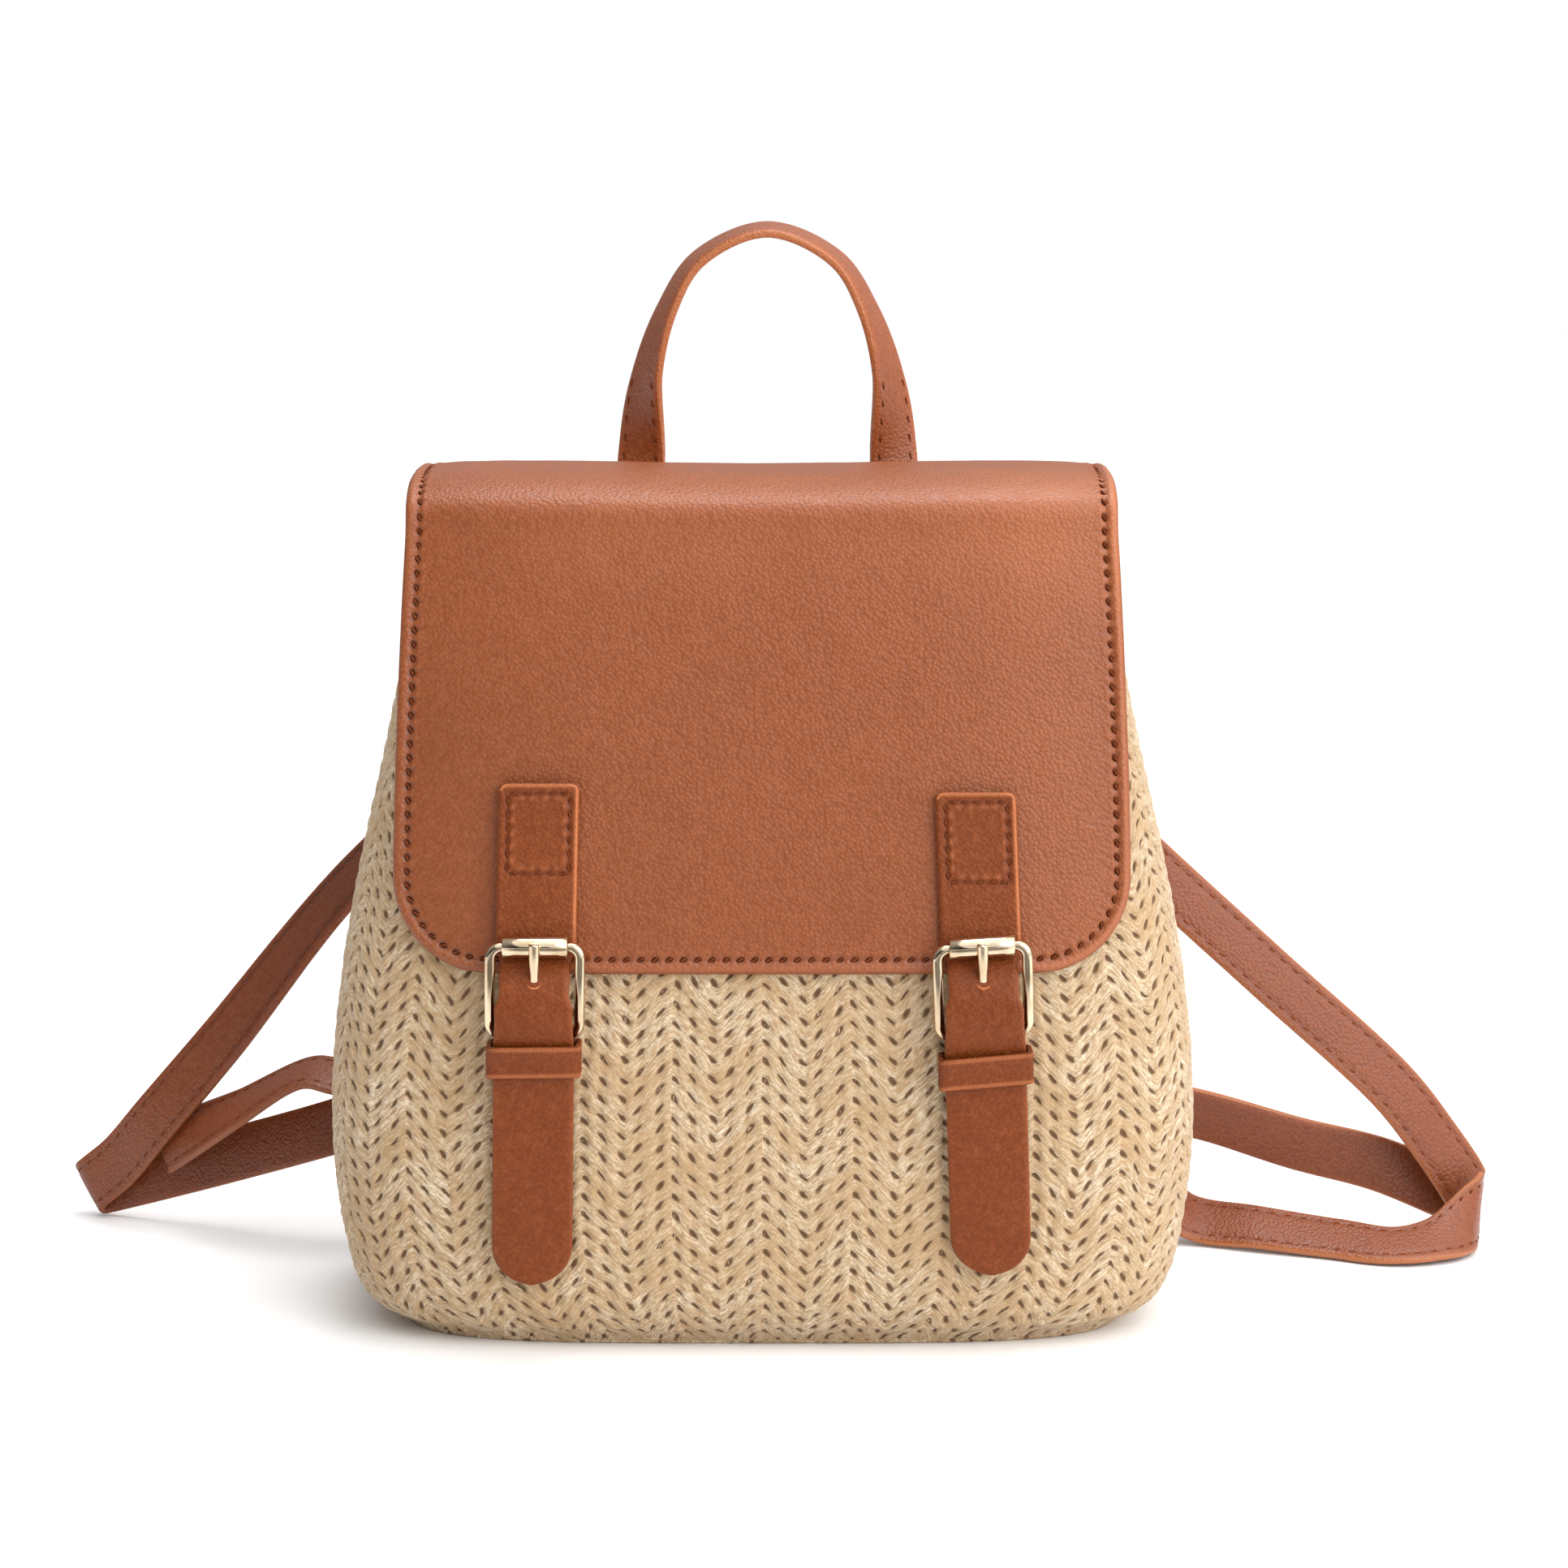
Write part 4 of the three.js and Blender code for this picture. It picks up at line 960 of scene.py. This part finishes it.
    # Roller with eased ends
    rings = []
    half = [(0.2, ROLLER_R), (0.485, ROLLER_R), (0.5, ROLLER_R - 0.3), (0.5, ROLLER_BORE)]
    profile = [(-u, r) for u, r in half[::-1]] + half
    for u, r in profile:
        ring = []
        for k in range(40):
            b = 2 * pi * k / 40
            p = tilted(u * ROLLER_L, BAR_Z, ROLLER_N + r * sin(b))
            ring.append(p + [0, 0, r * cos(b)])
        rings.append(ring)
    tube(f"roller_{side}", rings, GOLD, (f"buckle_roller_{side}",), closed=True)

    # Prong
    under = arc(HINGE_Z, HINGE_N, HOOK_R, (150, 115, 85))
    under += [(HINGE_Z + 7, HINGE_N + HOOK_R + 1.35), (HINGE_Z + 15, STRAP_N + 5.2)]
    under += [(PRONG_END[0] - 4.5, PRONG_END[1] - 1.25), PRONG_END]
    path = spline([tilted(0, h, n) for h, n in under], np.linspace(0, 1, 60))
    along = unit(np.gradient(path, axis=0))
    sideways = np.tile([1.0, 0, 0], (len(path), 1))
    upwards = unit(np.cross(along, sideways))
    wire(
        f"prong_{side}", path, [(PRONG_R * 1.15, PRONG_R)] * len(path), sideways, upwards,
        (f"buckle_prong_{side}",), closed=False,
    )
    # Rim of the strap's hole below the prong
    hole = tilted(0, HINGE_Z + 15.2, STRAP_N + 5.0 + STRAP_T / 2)
    plane = unit(tilted(0, HINGE_Z + 17, STRAP_N + 4.2) - tilted(0, HINGE_Z + 15, STRAP_N + 5.2))
    out_of = np.cross([1.0, 0, 0], plane)
    around = np.linspace(0, 2 * pi, 9)[:-1]
    rings = []
    for b in np.linspace(pi, 2 * pi, 25):
        out = np.array([1.0, 0, 0]) * cos(b) + plane * sin(b)
        middle_ring = hole + out * (PRONG_R + 0.75)
        rings.append([middle_ring + out * 0.35 * cos(q) + out_of * 0.3 * sin(q) for q in around])
    tube(f"hole_rim_{side}", rings, DARK_LEATHER, tone=[[0.9] * 8] * 25)

    # Keeper
    def inner(h):
        heights = np.array([row[0] for row in run])[::-1]
        return np.interp(h, heights, np.array([row[1] for row in run])[::-1]) + STRAP_T / 2 + GAP

    low, high = KEEPER_TOP - spec["drop"] - KEEPER_H, KEEPER_TOP - spec["drop"]
    keeper = leaning(spec["keeper"])
    rise = TONGUE_W / 2 * tan(radians(spec["keeper"]))
    rings, tones = [], []
    profile = [(0, 0.05), (0, 0.8), (0.03, 1.0), (0.12, 1.12), (0.2, 0.98), (0.5, 1.0), (0.8, 0.98)]
    profile += [(0.88, 1.12), (0.97, 1.0), (1, 0.8), (1, 0.05), (0.6, 0), (0.3, 0)]
    for share, swell in profile:
        h, extra = low + share * (high - low), swell * KEEPER_T
        n0 = GAP + KEEPER_T - min(extra, KEEPER_T)
        n1 = max(inner(h), inner(h + 1 + rise)) + extra + GAP / 2
        half_u = TONGUE_W / 2 + KEEPER_ROOM + extra
        mid_n = (n0 + n1) / 2
        loop = rounded_loop(half_u, n1 - mid_n, 0.8 + extra / 2, 15, 1.5)
        rings.append([keeper(u, h, mid_n + n) for u, n, _, _ in loop])
        tones.append([0.45 if 0.02 < share < 0.16 or 0.84 < share < 0.98 else -0.1] * len(loop))
    tube(f"keeper_loop_{side}", rings, DARK_LEATHER, (f"keeper_{side}",), closed=True, tone=tones)

    # Tab folded round the hinge bar, over the keeper's back, with its end on the wall
    lift, foot, shoulder = 2 * GAP + KEEPER_T, TAB_BOTTOM + 5, TAB_BOTTOM + 10.5
    flank = KEEPER_TOP - KEEPER_H
    path = [(TAB_BOTTOM + 0.2, GAP), (foot, GAP), (shoulder, lift), (flank, lift)]
    behind = [(h, n + TAB_T / 2) for h, n in path]
    ahead = [(h, n + TAB_T * 1.5) for h, n in path[::-1]]
    bend = BAR_R + GAP + TAB_T / 2
    loop = arc(HINGE_Z, HINGE_N, bend, range(-120, 121, 30))
    slope = tan(radians(spec["tilt"]))
    keys = [(*tilted(0, h, n), 1, 0, slope) for h, n in behind + loop + ahead]
    ribbon(
        f"folded_tab_{side}", keys, TAB_W, TAB_T - 0.04, 0.5, (f"buckle_tab_{side}",), DARK_LEATHER, 0.4,
        bevel=0.4, drop=0.1, fine=9,
    )
    return box


def handle():
    crest = float(half_depth(BODY_H)) + FLAP_GAP
    foot_n = 2 * GAP + HANDLE_T / 2
    back = lambda up, extra: float(on_flap(HANDLE_X, BODY_H + up, foot_n + extra))
    legs = [
        (1.0, -HANDLE_FOOT, back(-HANDLE_FOOT, 0), (1, 0, 0)),
        (1.0, -9, back(-9, 0), (1, 0, 0)),
        (1.0, 0, back(0, 0.6), (1, -0.04, 0)),
        (0.985, 12.5, crest + 5.7, (0.95, -0.31, 0)),
        (0.94, 35, crest + 2.3, (0.56, -0.83, 0)),
        (0.775, 54.3, crest - 0.7, (0.3, -0.95, -0.1)),
        (0.53, 68.3, crest - 1.9, (0.15, -0.97, -0.16)),
        (0, 76.5, crest - 2.7, (0, -0.98, -0.17)),
    ]

    def leg(sign, share, up, y, across):
        x = HANDLE_MID + sign * share * HANDLE_X
        return (x, y, BODY_H + up, -sign * across[0], *across[1:])

    keys = [leg(-1, *row) for row in legs] + [leg(1, *row) for row in legs[-2::-1]]
    strap = ribbon(
        "handle_strap", keys, HANDLE_W, HANDLE_T, 1.2, ("top_handle",), HANDLE_LEATHER, bevel=0.6,
    )
    feet = ((0.02, 0.24), (0.76, 0.98))
    sides = [(side, face) for side in (-1, 1) for face in (-1, 1)]
    return [seam(strap, HANDLE_SEAM, side, face, *ends, 0.05) for ends in feet for side, face in sides]


def belts():
    """Both shoulder straps. Returns the sewn lines on the outer and the inner faces."""
    sx, sy = BODY_W / 2, BODY_D / 2
    belt_n = GAP + BELT_T / 2
    high = lambda share: share * BODY_H
    ring_y = sy + 2
    turn = RING_R + 0.75 + BELT_T / 2

    def upper(side):
        keys = []
        for x, down, extra in ((11.5, 13, 0.2), (17, 19, 0.2), (31, 34, 0.4)):
            z, n = BODY_H - down, belt_n + extra
            slope = on_flap(x + 0.75, z + 0.66, n) - on_flap(x - 0.75, z - 0.66, n)
            keys.append((side * x, float(on_flap(x, z, n)), z, side * 0.75, float(slope) / 2, 0.66))
        return keys

    def about(side, degrees, z):
        a = radians(degrees)
        x = side * (RING_X + RING_HALF_X - turn * cos(a))
        return (x, ring_y + turn * sin(a), z, 0, 0, 1)

    def fold(centre, line, heading, r, front):
        f = unit(line)
        e = unit(np.array(heading) - f * f.dot(heading))
        n = np.cross(f, e) * front
        keys = []
        for degrees in (0, 45, 90, 135, 180):
            a = radians(degrees)
            p = np.array(centre) + n * r * cos(a) + e * r * sin(a) + f * 0.3 * r * (1 - a)
            keys.append((*p, *f))
        return keys

    left = [
        *upper(-1),
        (-sx + 62, sy + 0.5, high(0.741), -0.7, 0.25, 0.66),
        (-sx + 30, sy + 6, high(0.6116), -0.58, 0.5, 0.62),
        (-sx - 3.4, sy + 12, high(0.4795), -0.42, 0.72, 0.52),
        (-sx - 43, sy + 15, high(0.2612), -0.5, 0.5, 0.7),
        (-sx - 65, sy + 19, 32.5, -0.5, 0.42, 0.75),
        (-sx - 77, sy + 25, 18, -0.5, 0.36, 0.78),
        *fold((-sx - 85.2, sy + 31, 9.1), (-0.5, 0.33, 0.8), (-0.628, 0.24, -0.74), 1.75, 1),
        (-sx - 66, sy + 26.2, 13.8, -0.4, 0.33, 0.86),
        (-sx - 42.6, sy + 19, 21.5, -0.1, 0.25, 0.96),
        (-sx - 9.8, sy + 6.5, 33.4, 0, 0.28, 0.96),
        (-sx + 14, ring_y + turn + 0.6, 41.5, 0, 0, 1),
        about(-1, 90, RING_Z - 0.4),
        about(-1, 40, RING_Z),
        about(-1, -10, RING_Z),
        about(-1, -60, RING_Z + 0.3),
        about(-1, -95, RING_Z + 0.8),
        (-sx + 12, ring_y - turn - 1.6, 47.5, 0, 0.45, 0.89),
        (-sx - 8, sy - 1, 51, 0, 0.9, 0.4),
        (-sx - 16, sy + 1, 51.5, 0.1, 0.93, 0.32),
        (-sx - 38, sy + 6.5, 38.8, 0, 0.84, 0.5),
        (-sx - 54, sy + 15, 29, -0.15, 0.6, 0.78),
        (-sx - 62.5, sy + 20.2, 23.6, -0.3, 0.4, 0.86),
    ]
    right = [
        *upper(1),
        (sx - 62, sy + 0.5, high(0.7321), 0.72, 0.12, 0.68),
        (sx - 32, sy + 7, high(0.6161), 0.7, 0.2, 0.69),
        (sx - 3, sy + 10, high(0.4933), 0.66, 0.3, 0.7),
        (sx + 31, sy + 9, high(0.3554), 0.64, 0.32, 0.7),
        (sx + 68.5, sy + 8.5, 45.3, 0.64, 0.32, 0.7),
        (sx + 82, sy + 9.5, 28, 0.64, 0.3, 0.7),
        *fold((sx + 89, sy + 14.5, 13.4), (0.6, 0.25, 0.76), (0.545, 0.05, -0.838), 4.3, -1),
        (sx + 66, sy + 16.5, 19.5, 0.35, 0.1, 0.93),
        (sx + 40, sy + 11, 27.4, 0.1, -0.15, 0.97),
        (sx + 9.8, sy + 8, 37.2, 0, -0.3, 0.95),
        (sx - 14, ring_y + turn + 0.6, 42, 0, 0, 1),
        about(1, 90, RING_Z - 0.4),
        about(1, 40, RING_Z),
        about(1, -10, RING_Z),
        about(1, -60, RING_Z - 0.3),
        about(1, -95, RING_Z - 0.8),
        (sx - 17, ring_y - turn - 1.2, 40.5, 0.1, 0.1, 0.98),
        (sx - 9, ring_y - turn - 2.6, 30, 0.55, 0.3, 0.78),
        (sx - 1.5, sy - 2.5, 16, 0.4, 0.5, 0.76),
        (sx + 8, sy + 0.5, 7.2, 0.08, 0.8, 0.6),
        (sx + 27, sy - 6.5, 6.1, 0.1, 0.86, 0.5),
        (sx + 48, sy - 14, 4.9, 0.1, 0.9, 0.42),
        (sx + 65, sy - 21, 4.6, 0.12, 0.92, 0.36),
        (sx + 77.5, sy - 18.5, 5.8, -0.1, 0.9, 0.42),
        (sx + 86.5, sy - 12, 8.3, -0.15, 0.72, 0.66),
        (sx + 92, sy - 3, 10, 0.05, 0.45, 0.88),
        (sx + 94, sy + 4.5, 11, 0.15, 0.3, 0.93),
    ]
    sewn, faint = [], []
    # Painted light from the right: the left belt gets darker edges and painted shade along its upper part,
    # the right belt lighter edges as painted highlights
    for side, keys, edge, shade in (("left", left, 0.35, -0.55), ("right", right, 0.7, 0.0)):
        strap = ribbon(
            f"belt_{side}", keys, BELT_W, BELT_T, 1.2, (f"shoulder_strap_{side}",), BELT_LEATHER, edge,
            face=1 if side == "right" else -1, bevel=0.6, relief=sunk_seams(BELT_SEAM, shade, 150, 270),
        )
        near_quarter = len(strap["length"]) // 4
        face = 1 if strap["normal"][near_quarter][1] < 0 else -1
        sewn += [seam(strap, BELT_SEAM, s, face, 0.005, 0.995) for s in (-1, 1)]
        faint += [seam(strap, BELT_SEAM, s, -face, 0.005, 0.995) for s in (-1, 1)]
    return sewn, faint


def patch():
    """Patch over the straps' upper ends."""
    rows, columns = 24, 60
    up = np.linspace(0, 1, rows)[:, None] + np.zeros((rows, columns))
    across = np.linspace(-1, 1, columns)[None] + np.zeros((rows, columns))
    x, z = across * PATCH_HALF_W, BODY_H - PATCH_DROP - PATCH_H * (1 - up)
    y = on_flap(x, z, 2 * GAP + BELT_T + 0.15)
    base = np.stack([x, y, z], -1)
    normal = unit(np.cross(np.gradient(base, axis=0), np.gradient(base, axis=1)))
    inward = np.minimum((1 - np.abs(across)) * PATCH_HALF_W, np.minimum(up, 1 - up) * PATCH_H)
    level = PATCH_T - 0.8 * (1 - np.clip(inward / 0.9, 0, 1)) ** 2
    points = np.concatenate([(base + normal * level[..., None]).reshape(-1, 3), base.reshape(-1, 3)])
    front = grid_faces(rows, columns)
    loop, size = border(rows, columns), rows * columns
    after = np.roll(loop, -1)
    rim = np.stack([loop, after, after + size, loop + size], -1)
    # Lighter cut edges and painted shade along the seam line
    tone = 0.7 * bell(inward, 0, 1.0) - 0.6 * bell(inward, 2.4, 0.5)
    faces = np.concatenate([front[:, ::-1], front + size, rim])
    piece(
        "patch", points, faces, LEATHER, ("strap_patch",),
        tone=np.concatenate([tone.ravel(), tone.ravel()]),
    )
    w, upper = PATCH_HALF_W - PATCH_SEAM, BODY_H - PATCH_DROP
    low, top = upper - PATCH_H + PATCH_SEAM, upper - PATCH_SEAM
    runs = []
    for x, z in along_sides([(-w, low), (w, low), (w, top), (-w, top)], 40):
        y = on_flap(x, z, 2 * GAP + BELT_T + PATCH_T + 0.1)
        runs.append((np.stack([x, y, z], -1), np.tile([0, 0.97, 0.24], (40, 1))))
    return runs


def strap_rings():
    ring_y = BODY_D / 2 + 2
    for side, name in ((-1, "left"), (1, "right")):
        loop = rounded_loop(RING_HALF_X, RING_HALF_Z, RING_CORNER, 9, 1.0)
        centres = [np.array([side * (RING_X + u), ring_y, RING_Z + v]) for u, v, _, _ in loop]
        out = [np.array([side * du, 0, dv]) for _, _, du, dv in loop]
        count = len(loop)
        radii, back = [(RING_R, RING_R)] * count, [np.array([0, 1.0, 0])] * count
        wire(f"ring_{name}", centres, radii, out, back, (f"strap_ring_{name}",))


def ring_tabs():
    """Leather tabs folded round the rings' inner bars. Returns their sewn lines."""
    ring_y, bar_x = BODY_D / 2 + 2, RING_X - RING_HALF_X
    end_x = bar_x - RING_TAB_L
    sewn = float(wall_y(end_x, RING_Z + RING_TAB_H / 2)) + GAP
    low, top = sewn + RING_TAB_T / 2, sewn + RING_TAB_T * 1.5
    bend = RING_R + GAP + RING_TAB_T / 2
    path = [(end_x + 0.2, low), (end_x + 8, low), (bar_x - 9, low)]
    path += arc(bar_x, ring_y, bend, range(-120, 121, 30))
    path += [(bar_x - 9, top), (end_x + 8, top), (end_x + 0.2, top)]
    runs = []
    for side, name in ((-1, "left"), (1, "right")):
        keys = [(side * x, y, RING_Z, 0, 0, 1) for x, y in path]
        ribbon(
            f"ring_tab_leather_{name}", keys, RING_TAB_H, RING_TAB_T - 0.05, 0.6, (f"ring_tab_{name}",),
            LEATHER, 0.6, bevel=0.5, drop=0.15, fine=11,
        )
        x0, x1, half = end_x + 2.4, end_x + 13, RING_TAB_H / 2 - 2.2
        for x, z in along_sides([(x0, -half), (x0, half), (x1, half), (x1, -half)], 20):
            x, z = side * x, RING_Z + z
            line = np.stack([x, np.full(20, sewn + 2 * RING_TAB_T), z], -1)
            runs.append((line, np.tile([0, 1.0, 0], (20, 1))))
    return runs


woven_body()
woven_base()
flap_runs = flap()
closing_runs = closure("left") + closure("right")
handle_runs = handle()
belt_runs, faint_runs = belts()
patch_runs = patch()
strap_rings()
patch_runs += ring_tabs()

# Painted shade for the stitch holes, then the thread
sew("flap_stitch_hole_shade", flap_runs, 3.1, 1.15, 0.5, 30, HOLE_SHADE)
sew("flap_stitches", flap_runs, 2.2, 0.6, 0.5, 32, THREAD, 0.2)

def sew_seam(name, runs, hole, stitch, slant, pitch):
    """Stitches over dark capsules that paint the shade of their holes. Both take length, width and height.
    """
    sew(f"{name}_stitch_hole_shade", runs, *hole, slant, HOLE_SHADE, 0.0, pitch)
    sew(f"{name}_stitches", runs, *stitch, slant, THREAD, 0.15, pitch)


sew_seam("closing", closing_runs, (2.8, 1.1, 0.3), (2.0, 0.6, 0.4), 16, BOX_PITCH)
sew_seam("handle", handle_runs, (2.6, 0.9, 0.3), (2.2, 0.6, 0.4), 10, BELT_PITCH)
sew_seam("belt", belt_runs, (2.6, 0.9, 0.3), (2.2, 0.6, 0.4), 10, BELT_PITCH)
# The inner faces' stitches take the holes' painted-shade material
sew("belt_inner_stitches", faint_runs, 1.6, 0.5, 0.3, 0, HOLE_SHADE, 0.0, BELT_PITCH)
sew_seam("patch", patch_runs, (2.4, 0.9, 0.3), (2.0, 0.6, 0.4), 10, PATCH_PITCH)

# Floor, light and camera
FLOOR = 6.0  # half of its width, in metres
CARD_PLACE = (0, -0.75, 0)
LENS = 90.5  # for a sensor 36 mm wide, fitted to the photo like the camera's place and tilt
SENSOR_W = 36
CAMERA_PLACE = (0.0059, -1.0865, 0.3199)
CAMERA_TILT = 81


def pale_floor():
    mesh = bpy.data.meshes.new("floor")
    corners = [(-FLOOR, -FLOOR, 0), (FLOOR, -FLOOR, 0), (FLOOR, FLOOR, 0), (-FLOOR, FLOOR, 0)]
    mesh.from_pydata(corners, [], [(0, 1, 2, 3)])
    n = Nodes("pale_floor")
    # A dark card on the floor in front of the bag, seen only in reflections, gives the buckles contrast
    mirrored = n.node("ShaderNodeLightPath", out=3)
    place = n.node("ShaderNodeTexCoord", out=3)
    away = n.node("ShaderNodeVectorMath", 1, {0: place, 1: CARD_PLACE}, operation="DISTANCE")
    card = n.math("MULTIPLY", mirrored, n.ramp(away, 0.62, 0.42))
    pale = n.mix(card, (0.93, 0.93, 0.93, 1), (0.16, 0.15, 0.14, 1))
    mesh.materials.append(n.set(Base_Color=pale, Roughness=0.8, Specular_IOR_Level=0.1))
    made = bpy.data.objects.new("floor", mesh)
    bpy.context.scene.collection.objects.link(made)
    return made


floor = pale_floor()


def studio():
    n = Nodes("studio", bpy.data.worlds.new("studio"), "Background")
    bpy.context.scene.world = n.material
    to_right, to_back, to_top = n.split(n.node("ShaderNodeTexCoord", out=0))
    overhead = n.ramp(to_top, -0.1, 0.8, (0.4, 0.95), "LINEAR")
    # The studio is dim in front of the bag and on its left. The camera sees plain white behind it
    ahead = n.ramp(to_back, -0.95, -0.4, (0.12, 1.0))
    beside = n.ramp(to_right, -0.9, 0.5, (0.42, 1.08), "LINEAR")
    strength = n.math("MULTIPLY", n.math("MULTIPLY", overhead, ahead), beside)
    sight = n.node("ShaderNodeLightPath")
    n.set(Strength=n.node("ShaderNodeMix", 0, {0: sight, 2: strength, 3: 1.0}), Color=(1, 1, 1, 1))


def lamp(name, kind, place, power, size):
    """A soft light at a place, aimed at the bag's middle. A sun's size is an angle in degrees."""
    light = bpy.data.lights.new(name, kind)
    light.energy = power
    if kind == "SUN":
        light.angle = radians(size)
    else:
        light.shape = "DISK"
        light.size = size
    made = bpy.data.objects.new(name, light)
    made.location = place
    x, y, z = place[0], place[1], place[2] - BODY_H * MM / 2
    made.rotation_euler = (atan2(hypot(x, y), z), 0, atan2(x, -y))
    bpy.context.scene.collection.objects.link(made)


studio()
lamp("sun", "SUN", (0.8, -0.75, 1.3), 2.2, 110)
lamp("key", "AREA", (0.66, -0.72, 0.62), 6.5, 1.0)
lamp("top", "AREA", (0.1, 0.15, 1.4), 9, 0.8)
bpy.context.scene.view_settings.view_transform = "Standard"

lens = bpy.data.cameras.new("camera")
lens.lens = LENS
lens.sensor_width = SENSOR_W
camera = bpy.data.objects.new("camera", lens)
camera.location = CAMERA_PLACE
camera.rotation_euler = (radians(CAMERA_TILT), 0, 0)
bpy.context.scene.collection.objects.link(camera)
bpy.context.scene.camera = camera
